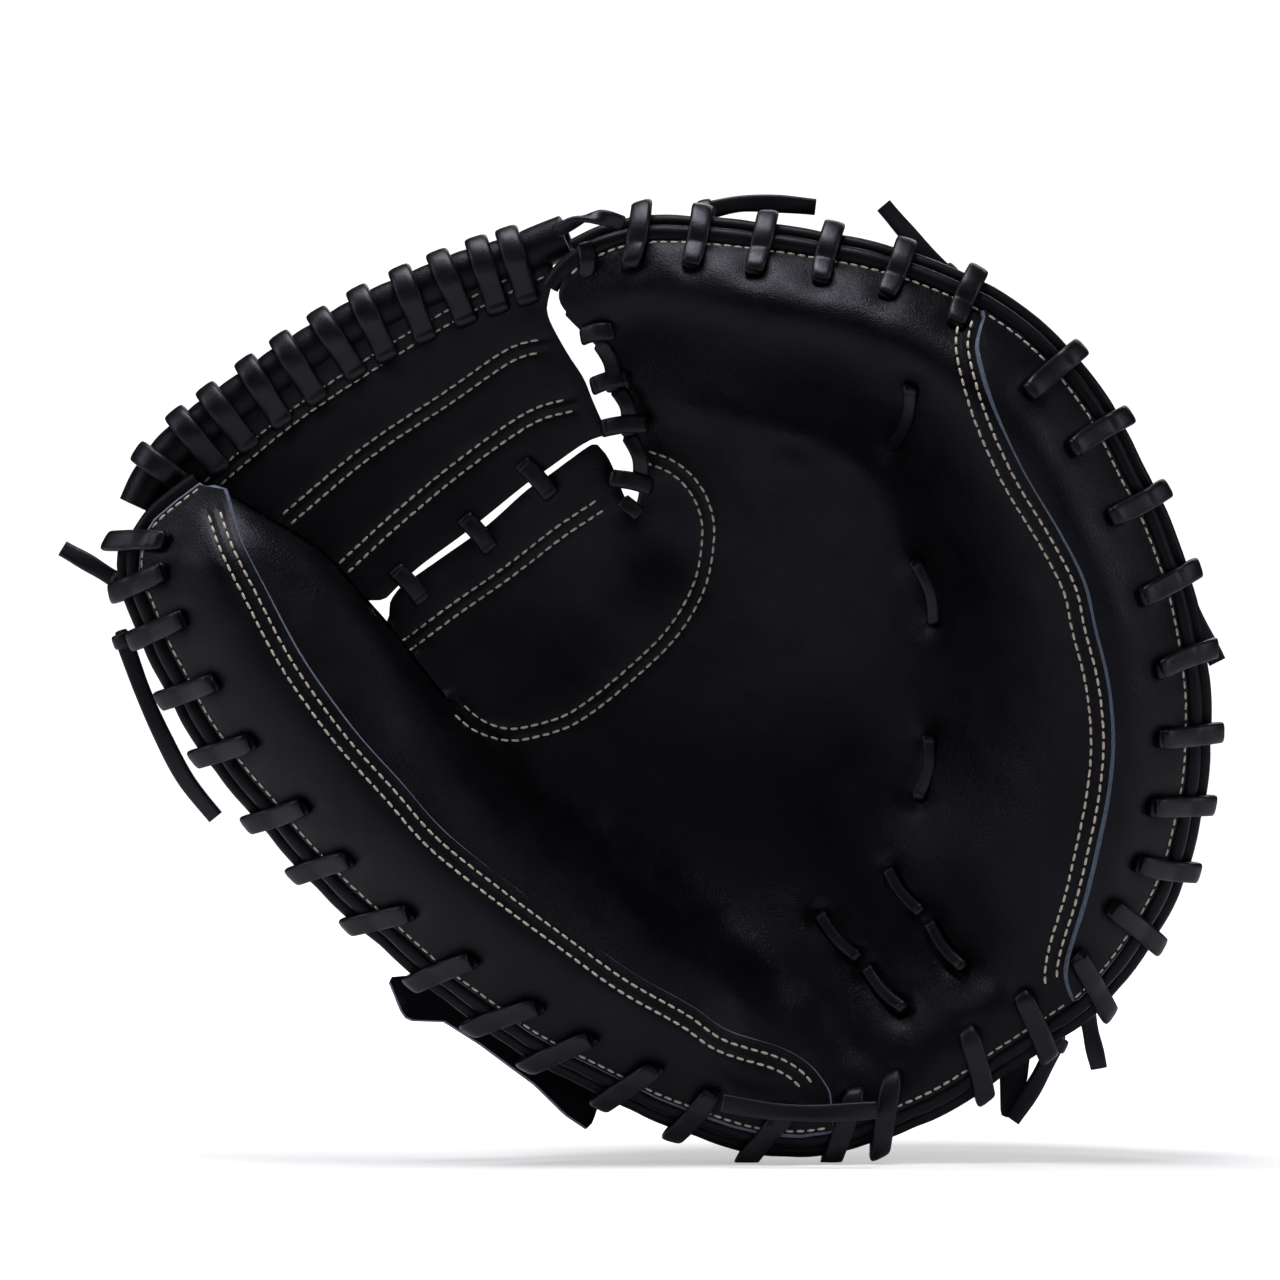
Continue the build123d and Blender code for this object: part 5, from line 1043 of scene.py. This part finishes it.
def panel_surface(front, rows):
    def surface(x, z):
        y = front(x, z) - PANEL_LIFT + hide_waves(x, z)
        y = y + grooves(x, z, rows + RIM_ROWS, depth=0.42, width=0.9)
        return y + pits(x, z, HOLES, depth=1.6, width=3.8)

    return surface


thumb_panel_surface = panel_surface(thumb_front, THUMB_ROWS)
pinky_panel_surface = panel_surface(finger_front, PINKY_ROWS)


def front_web(x, z):
    y = web_surface(x, z) + 0.45 * waves(x, z, 20, 3) + 0.12 * waves(x, z, 6, 1)
    y = y + grooves(x, z, WEB_ROWS, depth=0.5, width=1.0)
    return y + pits(x, z, WRAP_HOLES, depth=1.0, width=3.2)


def rear_web(x, z):
    return web_surface(x, z) + 2.75 + 0.35 * waves(x, z, 18, 2)


def back_surface(x, z):
    """Front face of the back shell."""
    y = shell_back(x, z) - LEATHER + 0.5 * waves(x, z, 19, 1) + 0.12 * waves(x, z, 6, 2)
    return y - pits(x, z, HOLES, depth=1.0, width=3.5)


# ---------------------------------------------------------------- palm hide and panels
def build_palm_hide():
    ridge = resample(RIDGE_CURVE, 2.0)
    finger_side, thumb_side = shifted(ridge, 0.35), shifted(ridge, -0.05)
    cut = nearest(finger_side, SLIT_LOWER[-1])
    outline = np.vstack([
        rim_line(1.4)[:-1], EDGE_CURVE[1:], curve(SLIT_LOWER, per=5)[1:-2],
        finger_side[cut + 1 : -1], thumb_side[::-1],
    ])
    beside_ridge = [
        shifted(resample(RIDGE_CURVE, 2.2), -d) for d in (0.5, 1.2, 2.1, 3.3, 5.0, 7.0)
    ]
    extra = np.vstack([row_points(RIM_ROWS + PALM_ROWS, 1.6, 1.6), *beside_ridge])
    sheet("palm_hide", outline, palm_surface, LEATHER, [SHELL, RAW_DARK], "shell_leather",
          replaces=["palm_leather", "thumb_leather", "web_crotch_patch", "finger_pad",
                    "pocket_pad", "heel_pad", "thumb_pad"],
          step=2.3, extra=extra, bevel=0.5)


def build_hide_fold():
    """The folded edge of the thumb hide, turned down behind the web."""
    ridge = resample(RIDGE_CURVE, 2.0)
    top = palm_base(*shifted(ridge, -0.3).T)
    deep = np.maximum(web_surface(*ridge.T), finger_front(*ridge.T)) + 6
    deep = np.maximum(deep, top + 2)
    rows = []
    for share in np.linspace(0, 1, 7):
        line = shifted(ridge, -0.15 - 3.5 * share**1.5)
        rows.append(raised(line, top + (deep - top) * share - 0.6 * (share == 0)))
    rows += [row + np.array([-0.8, 0.6, -0.6]) for row in rows[::-1]]
    count = len(ridge)
    faces = []
    for i in range(len(rows) - 1):
        here, there = i * count, (i + 1) * count
        faces += [(here + a, here + a + 1, there + a + 1, there + a) for a in range(count - 1)]
    parts = Parts()
    parts.add(np.vstack(rows), faces)
    parts.make("thumb_hide_fold", [SHELL], "shell_leather")


def build_panel(finger, outline, surface, rows, rim_part, body):
    sheet(f"{finger}_panel_leather", outline, surface, PANEL_LEATHER, [PANEL, RAW],
          "panel_leather", body, [f"{finger}_panel"], step=2.4,
          extra=row_points(rows + [rim_part], 1.6, 1.5), bevel=0.15, rear_bevel=False, flare=0.75)


build_palm_hide()
build_hide_fold()
build_panel("thumb", THUMB_OUTLINE, thumb_panel_surface, THUMB_ROWS, rim_line(0, 1, HEEL_RIM),
            "thumb_body")
build_panel("pinky", PINKY_OUTLINE, pinky_panel_surface, PINKY_ROWS,
            rim_line(0, PINKY_LOW + 1, PINKY_HIGH), "palm_body")


# ---------------------------------------------------------------- web
def build_web():
    top = shifted(resample(ROLL_CURVE, 6), -4.5)
    left = shifted(resample(RIDGE_CURVE, 9), -9.0)
    left = left[left[:, 1] > WEB_LOWER[0][1] - 3][::-1]
    outline = np.vstack([
        top[:-1], curve(WEB_RIGHT, per=4)[::-1][2:], curve(WEB_LOWER, per=4)[::-1][1:], left[:-1],
    ])
    sheet("web_front_leather", outline, front_web, WEB_LEATHER, [WEB, RAW_DARK], "shell_leather",
          replaces=["web_front_panel"], step=2.4, extra=row_points(WEB_ROWS, 1.7, 1.6), bevel=0.4)
    sheet("web_rear_leather", outline, rear_web, WEB_LEATHER, [WEB, RAW_DARK], "shell_leather",
          replaces=["web_back_panel"], step=3.4)


def build_web_roll():
    """Leather tube along the top of the web, pinched under the laces, with a felt core."""
    line = resample(ROLL_CURVE, 1.2)
    reach = lengths_along(line)
    at = np.array([reach[nearest(line, centre)] for centre, _, _ in FRAMES])
    squeeze = 1 - 0.075 * np.exp(-(((reach[:, None] - at) / 3.0) ** 2)).max(1)
    squeeze = squeeze + 0.02 * np.sin(reach / 4.3)
    path = raised(line, rim_y(*line.T) + WEB_ROLL_DEPTH)
    along = tangents(path)
    side = unit(np.cross(along, np.array([0, 1.0, 0])))
    up = np.cross(side, along)
    sides = 28
    angle = np.linspace(0, 2 * math.pi, sides, endpoint=False)
    ripple = 1 + 0.018 * np.sin(3 * angle)[None] * np.sin(reach / 9)[:, None]
    outer = rings_around(path, side, up, WEB_ROLL_R * squeeze[:, None] * ripple, sides)
    inner = rings_around(path, side, up, WEB_ROLL_INNER_R * ripple, sides)
    faces = tube_faces(len(path), sides)
    parts = Parts()
    parts.add(outer.reshape(-1, 3), faces)
    parts.add(inner.reshape(-1, 3), [face[::-1] for face in faces])
    for end, order in ((0, 1), (-1, -1)):
        ring = [face[::order] for face in tube_faces(2, sides, along_first=True)]
        parts.add(np.vstack([outer[end], inner[end]]), ring, 1, False)
    parts.make("web_roll_leather", [WEB, RAW], "binding",
               replaces=["web_roll", "web_roll_thumb_end"])
    core = Parts()
    sweep(core, path[4:-3], (0, 1, 0), WEB_CORE_D, WEB_CORE_D, power=2.0, sides=16)
    core.make("web_roll_felt", [FELT], "felt", replaces=["web_roll_core"])


def build_roll_lacing():
    """Lace wraps round the web roll; the first one is on the thumb wing."""
    main, thumb = Parts(), Parts()
    half = LACE_T / 2 + 0.25
    radius = WEB_ROLL_R + half
    for k, (centre, along, down) in enumerate(FRAMES):
        drop = WRAP_DROP if k else THUMB_WRAP_DROP
        axis_y = float(rim_y(*centre)) + WEB_ROLL_DEPTH
        web_y = float(web_surface(*(centre + down * drop)))
        turns = [math.radians(a) for a in range(-30, 211, 20)]
        arc = [(-radius * math.sin(a), axis_y - radius * math.cos(a)) for a in turns]
        front = [(drop, web_y + 1.2), (drop - 0.6, web_y - half - 0.1),
                 (drop - 3.0, web_y - half - 0.5)]
        rear = [(drop - 3.0, web_y + 4.9 + half), (drop, web_y + 4.9 + half * 0.6),
                (drop + 0.5, web_y + 3.0)]
        profile = curve(front + arc + rear, closed=True, per=3)
        lean = RNG.uniform(-0.05, 0.05)
        down = down * math.cos(lean) + along * math.sin(lean)
        path = raised(centre + down * profile[:, :1], profile[:, 1])
        sweep(main if k else thumb, path, (along[0], 0, along[1]), 6.8, 2.6, closed=True)
    main.make("web_roll_lacing", [LACE], "lace", "palm_body", ["web_roll_lace"])
    thumb.make("web_roll_thumb_lacing", [LACE], "lace", "thumb_body", ["web_roll_thumb_lace"])


def over_lace(parts, start, end, surface, width, lift, dive, bow, side=0.4):
    """Lace that comes out of one hole, lies over the leather and goes in at the other.

    It lies lift off the surface, rises by bow and strays by side in the middle.
    """
    start, end = np.array(start, float), np.array(end, float)
    normal = left_of(unit(end - start))
    share = np.array([0.0, 0.02, 0.1, 0.3, 0.5, 0.7, 0.9, 0.98, 1.0])
    arch = np.sin(share * math.pi)
    line = start + share[:, None] * (end - start) + normal * (arch * side)[:, None]
    y = surface(*line.T) - lift - bow * arch
    y[0], y[-1] = y[1] + dive, y[-2] + dive
    sweep(parts, curve(raised(line, y), per=4), (normal[0], 0, normal[1]), width, 2.2)


def build_ties(name, replaced, pairs, surface, runs=(), materials=(LACE,), **shape):
    parts = Parts()
    for start, end in pairs:
        over_lace(parts, start, end, surface, **shape)
    for run in runs:
        line = curve(run, per=6)
        path = raised(line[:, :2], surface(line[:, 0], line[:, 1]) + line[:, 2])
        sweep(parts, path, (0.9, 0, 0.2), 4.6, 2.1, end_slot=1, round_ends=True)
    parts.make(name, materials, "lace", "palm_body", [replaced])


build_web()
build_web_roll()
build_roll_lacing()
build_ties("slit_lacing", "web_slit_laces", SLIT_BARS, low_or_web,
           width=5.4, lift=1.3, dive=3.0, bow=0.6)
build_ties("web_finger_lacing", "web_finger_lace", CROTCH_BARS, low_or_web, CROTCH_RUNS,
           (LACE, RAW), width=5.2, lift=1.6, dive=3.4, bow=1.4)
build_ties("pocket_ties", "pocket_tie_laces", POCKET_TIES, palm_base,
           width=3.9, lift=-0.2, dive=3.4, bow=0.5, side=1.6)
build_ties("heel_break_ties", "heel_break_laces", HEEL_TIES, palm_base,
           width=3.7, lift=-0.2, dive=3.2, bow=0.4, side=-1.0)


# ---------------------------------------------------------------- rim bindings and lace loops
HOLE_REACH = line_distance(RIM, *np.array(HOLES).T)[1]


def rim_tube(name, replaces, outwards, depth, radius, first=0, last=None):
    """Rolled binding along the rim, pinched at the lace loops."""
    line = resample(curve(rim_line(outwards, first, last), per=4), 2.0)
    reach = line_distance(RIM, *line.T)[1]
    tight = np.exp(-(((reach[:, None] - HOLE_REACH) / 3.4) ** 2)).max(1)
    parts = Parts()
    sweep(parts, raised(line, rim_y(*line.T) + depth + 0.25 * tight), (0, 1, 0), 2 * radius,
          2 * radius, power=2.3, scale=1 - 0.1 * tight)
    parts.make(name, [BINDING], "binding", replaces=replaces)


def rim_loop(parts, outer, hole, front, panel):
    """One lace loop from its hole over both bindings and back through the shell."""
    hole = np.array(hole)
    out = unit(np.array(outer) - hole)
    _, feet, gaps = project(hole, RIM[:-1], np.diff(RIM, axis=0))
    leg = int(gaps.argmin())
    foot = feet[leg]
    along = unit(RIM[min(len(RIM) - 1, leg + 2)] - RIM[max(0, leg - 1)])
    normal = -left_of(along)
    slant = float(out @ normal)
    rim_at = float((foot - hole) @ normal) / slant
    lift = PANEL_LIFT if inside(panel, hole[None])[0] else 0.0
    half = LACE_T / 2 + 0.3

    def front_y(reach):
        return float(front(*(hole + out * reach))) - lift

    def plane_y(off):
        return float(rim_y(*(hole + out * (rim_at + off / slant))))

    back_y = plane_y(BACK_OFF)
    rear_y = max(float(shell_back(*hole)),
                 float(shell_back(*(hole + out * rim_at * 0.5))) - 0.3) + half
    outermost = rim_at + (BACK_OFF + ROLL_R + half + 0.3) / slant
    roll_y = plane_y(FRONT_OFF) - 5.45 - half
    bulge = RNG.uniform(0.0, 0.5)
    profile = curve([  # (distance out from the hole, y)
        (0.0, front_y(0) + 1.4),
        (0.5, front_y(0.5) - half * 0.5),
        (rim_at * 0.3, front_y(rim_at * 0.3) - half - bulge),
        (rim_at * 0.65, front_y(rim_at * 0.65) - half - 0.2 - bulge),
        (rim_at + 0.2, min(front_y(rim_at) - half - 0.3, roll_y)),
        (rim_at + (FRONT_OFF + 1.0) / slant, roll_y + 0.1),
        (rim_at + (BACK_OFF + 0.6) / slant, back_y - 4.4),
        (outermost, back_y - 0.6),
        (outermost + 0.15, back_y + 3.6),
        (rim_at + (BACK_OFF + 0.8) / slant, back_y + 3.2 + ROLL_R + half + 0.4),
        (rim_at * 0.6, max(rear_y, back_y + 4.6 + half)),
        (0.4, rear_y + 0.3),
        (-0.2, rear_y - 2.0),
    ], closed=True, per=4)
    lean = RNG.uniform(-0.09, 0.09)
    stray = RNG.uniform(-0.5, 0.5)
    reach = profile[:, 0]
    bend = np.sin(np.clip(reach / max(outermost, 1), 0, 1) * math.pi)
    line = hole + out * reach[:, None] + along * stray * bend[:, None]
    slope = float(rim_y(*(foot + along * 2)) - rim_y(*(foot - along * 2))) / 4
    side = np.array([along[0] + out[0] * lean, slope, along[1] + out[1] * lean])
    width = 1 - 0.16 * np.exp(-((reach / 2.2) ** 2))
    sweep(parts, raised(line, profile[:, 1]), side, LACE_W + 0.5, LACE_T + 0.2, closed=True,
          scale=np.stack([width, np.ones_like(width)], 1))


def build_rim_lacing(wing, body, items, front, panel):
    parts = Parts()
    for outer, hole in items:
        rim_loop(parts, outer, hole, front, panel)
    parts.keep_above_floor()
    parts.make(f"{wing}_rim_lacing", [LACE], "lace", body, [f"{wing}_rim_lace"])


rim_tube("front_roll_binding", ["finger_front_roll", "thumb_front_roll"],
         outwards=FRONT_OFF, depth=-2.9, radius=2.55)
rim_tube("back_roll_binding", ["finger_back_roll", "thumb_back_roll"],
         outwards=BACK_OFF, depth=3.2, radius=ROLL_R, first=3, last=-2)
build_rim_lacing("thumb", "thumb_body", LOOPS[:THUMB_LOOPS], thumb_front, THUMB_OUTLINE)
build_rim_lacing("finger", "palm_body", LOOPS[THUMB_LOOPS:], finger_front, PINKY_OUTLINE)


# ---------------------------------------------------------------- stitches
def rim_row(first, last, outwards=0):
    return curve(rim_line(outwards, first, last), per=3)


def build_stitching(name, rows, surface, body=None, thread=THREAD, front=-1.0):
    parts = Parts()
    for row in rows:
        stitch_row(parts, row, surface, front)
    parts.make(name, [thread], "lace", body)


bare_rim = [rim_row(HEEL_RIM + 1, PINKY_LOW + 1), rim_row(PINKY_HIGH, len(RIM) - 1)]
build_stitching("palm_stitching", bare_rim + PALM_ROWS, palm_surface)
build_stitching("thumb_panel_stitching", [rim_row(0, HEEL_RIM + 1)] + THUMB_ROWS,
                thumb_panel_surface, "thumb_body")
build_stitching("pinky_panel_stitching", [rim_row(PINKY_LOW, PINKY_HIGH + 1)] + PINKY_ROWS,
                pinky_panel_surface, "palm_body")
build_stitching("web_stitching", WEB_ROWS, front_web)


# ---------------------------------------------------------------- back shell, hood and linings
def build_back():
    outline = np.vstack([
        rim_line(BACK_EDGE, 3, -2), shifted(EDGE_CURVE, -0.6)[6:-4], curve(BACK_CROTCH, per=4),
        shifted(resample(RIDGE_CURVE, 6), -4.0)[::-1][:-3],
    ])
    sheet("back_hide", outline, back_surface, LEATHER, [SHELL, RAW_DARK], "shell_leather",
          replaces=["finger_back_leather", "thumb_back_leather"],
          step=3.2, holes=[OPENING], bevel=0.4)
    # the opening runs clockwise seen from the front, so its left is the leather
    opening_row = resample(shifted(np.vstack([OPENING, OPENING[:1]]), 3.0), 1.5)
    build_stitching("back_stitching", [opening_row, rim_row(5, -4, -1.0)],
                    lambda x, z: back_surface(x, z) + LEATHER, thread=THREAD_DARK, front=1.0)


def build_lining(name, outline, gap, body):
    sheet(f"{name}_lining_leather", curve(outline, closed=True, per=4),
          lambda x, z: pad_back(x, z) + gap + 0.3 * waves(x, z, 9, 3), LINING,
          [LINER, RAW_DARK], "lining_leather", body, [f"{name}_lining"], step=3.4)


def build_stall(name, body, base, tip):
    """Round-tipped tube between the padding and the back shell."""
    base, tip = np.array(base, float), np.array(tip, float)
    share = np.linspace(0, 1, 9)
    x, z = (base + (tip - base) * share[:, None]).T
    middle = (pad_back(x, z) + 0.4 + LINING + shell_back(x, z) - LEATHER) / 2
    rise, base_y = np.polyfit(share, middle - 1.2, 1)
    base3 = np.array([base[0], base_y, base[1]])
    tip3 = np.array([tip[0], rise + base_y, tip[1]])
    length = np.linalg.norm(tip3 - base3)
    axis = (tip3 - base3) / length
    side = unit(np.cross(axis, (0, 1, 0)))
    up = np.cross(side, axis)
    straight = length - STALL_R
    reach = np.concatenate([
        np.linspace(0, straight, 12), straight + STALL_R * np.sin(np.linspace(0.2, 1.55, 7)),
    ])
    cap = np.sqrt(np.maximum(STALL_R**2 - (reach - straight) ** 2, 0.04))
    radius = np.where(reach < straight, STALL_R, cap)[:, None]
    sides = 28
    angle = np.linspace(0, 2 * math.pi, sides, endpoint=False)
    wobble = 1 + 0.02 * np.sin(3 * angle + 1)[None] * np.sin(reach / 7)[:, None]
    path = base3 + axis * reach[:, None]
    outer = rings_around(path, side, up, radius * wobble, sides)
    inner = rings_around(path, side, up, np.maximum(radius - STALL_WALL, 0.1) * wobble, sides)
    faces = tube_faces(len(reach), sides)
    parts = Parts()
    parts.add(outer.reshape(-1, 3), faces)
    parts.add(inner.reshape(-1, 3), [face[::-1] for face in faces])
    parts.add(outer[-1], [range(sides)])
    parts.add(inner[-1], [range(sides)[::-1]])
    parts.add(np.vstack([outer[0], inner[0]]), tube_faces(2, sides, along_first=True), 1, False)
    parts.make(f"{name}_stall_leather", [LINER, RAW_DARK], "lining_leather", body,
               [f"{name}_stall"])


build_back()
sheet("index_hood", curve(HOOD, closed=True, per=5),
      lambda x, z: shell_back(x, z) + 0.8 + 0.7 * waves(x, z, 14, 2), 2.0, [SHELL, RAW],
      "shell_leather", "palm_body", ["index_finger_hood"], step=2.6)
build_lining("palm", PALM_LINING, 0.4, "palm_body")
build_lining("thumb", THUMB_LINING, 0.2, "thumb_body")
for stall in STALLS:
    build_stall(*stall)


# ---------------------------------------------------------------- wrist strap and heel tab
def strap_outline(inset, first, last):
    """Outline between two of the 31 stations along the strap."""
    line = resample(STRAP_LINE, lengths_along(STRAP_LINE)[-1] / 30)
    half = STRAP_W / 2 - inset
    return np.vstack([shifted(line, half)[first:last], shifted(line, -half)[first:last][::-1]])


def strap_rear(x, z):
    return strap_back(x, z) + 0.4 * waves(x, z, 16, 1)


def build_strap():
    sheet("wrist_strap_leather", np.vstack([strap_outline(0, 0, 31)[:-3], STRAP_END]),
          lambda x, z: strap_rear(x, z) - STRAP_T, STRAP_T, [STRAP, RAW], "strap_leather",
          "strap_body", ["wrist_strap"], step=3.0)
    sheet("strap_fleece", strap_outline(3, 5, 26),
          lambda x, z: strap_back(x, z) - STRAP_T - 3.7, 3.0, [FLEECE, FLEECE], "fleece",
          "strap_body", ["strap_lining"], step=1.7,
          fluff=lambda x, z: 0.7 * waves(x, z, 2.6, 0) + 0.4 * waves(x, z, 5, 2))
    row = strap_outline(4, 1, 30)
    build_stitching("strap_stitching", [resample(np.vstack([row, row[:1]]), 1.5)], strap_rear,
                    "strap_body", THREAD_DARK, front=1.0)


build_strap()
sheet("heel_pull_tab", HEEL_TAB, lambda x, z: rim_y(x, z) + 13.4 + 0.3 * waves(x, z, 8, 1), 2.4,
      [STRAP, RAW], "strap_leather", "palm_body", ["heel_tab"], step=2.0)


# ---------------------------------------------------------------- loose lace ends and knots
def knot(parts, centre, y, along):
    """Two crossed rings of lace."""
    normal = left_of(along)
    turn = np.linspace(0, 2 * math.pi, 20, endpoint=False)
    for reach, side, radius, rise, width, thick in (
        (normal, along, 2.4, 2.4, 4.2, 2.0),
        (along, normal, 2.4 * 0.9, 1.7, 3.8, 1.8),
    ):
        ring = centre + reach * radius * np.cos(turn)[:, None]
        sweep(parts, raised(ring, y + 1.6 + rise * np.sin(turn)), (side[0], 0, side[1]),
              width, thick, closed=True)


def build_tail(name, centre_line, depth):
    """Loose, slightly twisting end of lace, knotted at the root except for the thumb tie."""
    root_y = float(rim_y(*centre_line[0])) + depth
    line = curve(centre_line, per=10)
    share = lengths_along(line)
    share = share / share[-1]
    phase = RNG.uniform(0, 3)
    path = raised(line, root_y + 1.1 + 0.5 * np.sin(share * 5 + phase) * share)
    twist = 0.35 * np.sin(share * 3 + phase) * share
    side = raised(left_of(tangents(line)) * np.cos(twist)[:, None], np.sin(twist))
    width = 1 + 0.05 * np.sin(share * 9 + phase)
    parts = Parts()
    sweep(parts, path, side, 5.0, 2.1, end_slot=1, power=4.0,
          scale=np.stack([width, np.ones_like(width)], 1))
    if name != "thumb_tie_end":
        knot(parts, np.array(centre_line[0]), root_y - 0.4, unit(line[2] - line[0]))
    parts.keep_above_floor()
    parts.make(f"{name}_strip", [LACE, RAW], "lace", f"{name}_body", [name])


for tail in TAILS:
    build_tail(*tail)


# ---------------------------------------------------------------- studio, metres
CAMERA_DISTANCE = 2.1
CAMERA_X, CAMERA_Z = -54.43 * MM, 148.71 * MM
VIEW_WIDTH = 364.8 * MM  # width seen at the rim plane
SENSOR = 36
FLOOR_Z = -0.0004


def build_floor():
    """Pale floor that glows to the camera, more so far from the glove: the glow is painted light, and
    its dimming near the glove is painted shade round the glove.
    """
    mesh = bpy.data.meshes.new("floor")
    corners = [(x, y, FLOOR_Z) for x, y in ((-6, -3), (6, -3), (6, 9), (-6, 9))]
    mesh.from_pydata(corners, [], [(0, 1, 2, 3)])
    floor = bpy.data.objects.new("floor", mesh)
    bpy.context.scene.collection.objects.link(floor)
    material, tree, bsdf = new_material("pale_floor")
    set_inputs(tree, bsdf, {
        "Base Color": (0.86, 0.86, 0.87, 1), "Roughness": 0.9, "Specular IOR Level": 0.0,
    })
    position = add_node(tree, "ShaderNodeNewGeometry").outputs["Position"]
    far = add_node(tree, "ShaderNodeVectorMath", {0: position}, operation="LENGTH")
    # painted shade: the camera-only glow is weaker near the glove, so the floor is darker round it
    painted_shade_fade = add_node(tree, "ShaderNodeMapRange", {
        "Value": far.outputs["Value"], "From Min": 0.30, "From Max": 0.95,
        "To Min": 0.44, "To Max": 1.1,
    }, interpolation_type="SMOOTHSTEP")
    camera_ray = add_node(tree, "ShaderNodeLightPath").outputs["Is Camera Ray"]
    # painted glow: emission that only the camera sees, added on top of the lit floor
    painted_glow = add_node(tree, "ShaderNodeMath", {
        0: camera_ray, 1: painted_shade_fade.outputs["Result"],
    }, operation="MULTIPLY")
    painted_glow_emission = add_node(tree, "ShaderNodeEmission", {
        "Color": (1, 1, 1, 1), "Strength": painted_glow.outputs[0],
    })
    both = add_node(tree, "ShaderNodeAddShader", {0: bsdf.outputs[0], 1: painted_glow_emission.outputs[0]})
    set_inputs(tree, tree.nodes["Material Output"], {"Surface": both.outputs[0]})
    mesh.materials.append(material)


def build_world():
    """White to the camera, very dim as a light."""
    world = bpy.data.worlds.new("studio")
    bpy.context.scene.world = world
    world.use_nodes = True
    tree = world.node_tree
    camera_ray = add_node(tree, "ShaderNodeLightPath").outputs["Is Camera Ray"]
    set_inputs(tree, tree.nodes["Background"], {
        "Color": (1, 1, 1, 1), "Strength": map_range(tree, camera_ray, to_min=0.022, to_max=1.15),
    })


def area_light(name, place, aim, size, power, colour):
    light = bpy.data.lights.new(name, "AREA")
    light.shape = "RECTANGLE"
    light.size, light.size_y = size
    light.energy = power
    light.color = colour
    lamp = bpy.data.objects.new(name, light)
    bpy.context.scene.collection.objects.link(lamp)
    lamp.location = place
    lamp.rotation_mode = "QUATERNION"
    lamp.rotation_quaternion = (Vector(aim) - Vector(place)).to_track_quat("-Z", "Y")


def build_camera():
    scene = bpy.context.scene
    camera = bpy.data.cameras.new("camera")
    camera.sensor_width = SENSOR
    camera.lens = SENSOR * CAMERA_DISTANCE / VIEW_WIDTH
    camera.clip_start, camera.clip_end = 0.1, 30
    holder = bpy.data.objects.new("camera", camera)
    scene.collection.objects.link(holder)
    holder.location = (CAMERA_X, -CAMERA_DISTANCE, CAMERA_Z)
    holder.rotation_euler = (math.radians(90), 0, 0)
    scene.camera = holder
    scene.view_settings.view_transform = "Standard"
    scene.view_settings.look = "None"


build_floor()
build_world()
# name, place, aim, size, power, colour
for light_row in (
    ("top", (-0.2, -0.12, 1.25), (-0.05, 0, 0.14), (0.9, 0.35), 12.5, (0.98, 0.97, 1.0)),
    ("left", (-1.25, -0.28, 0.75), (-0.05, 0, 0.14), (0.4, 0.9), 4.6, (0.95, 0.94, 1.0)),
    ("right", (1.2, -0.35, 0.55), (0, 0, 0.14), (0.4, 0.9), 3.4, (0.94, 0.93, 1.0)),
    ("front", (0.35, -1.7, 1.1), (-0.05, 0, 0.14), (0.9, 0.6), 1.2, (1, 1, 1)),
    ("back", (0.3, 1.3, 0.95), (-0.05, 0.02, 0.14), (0.9, 0.6), 5, (1, 1, 1)),
):
    area_light(*light_row)
build_camera()

# frame pieces that still show get the shell leather
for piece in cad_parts.values():
    if not piece.hide_render:
        piece.data.materials.clear()
        piece.data.materials.append(SHELL)
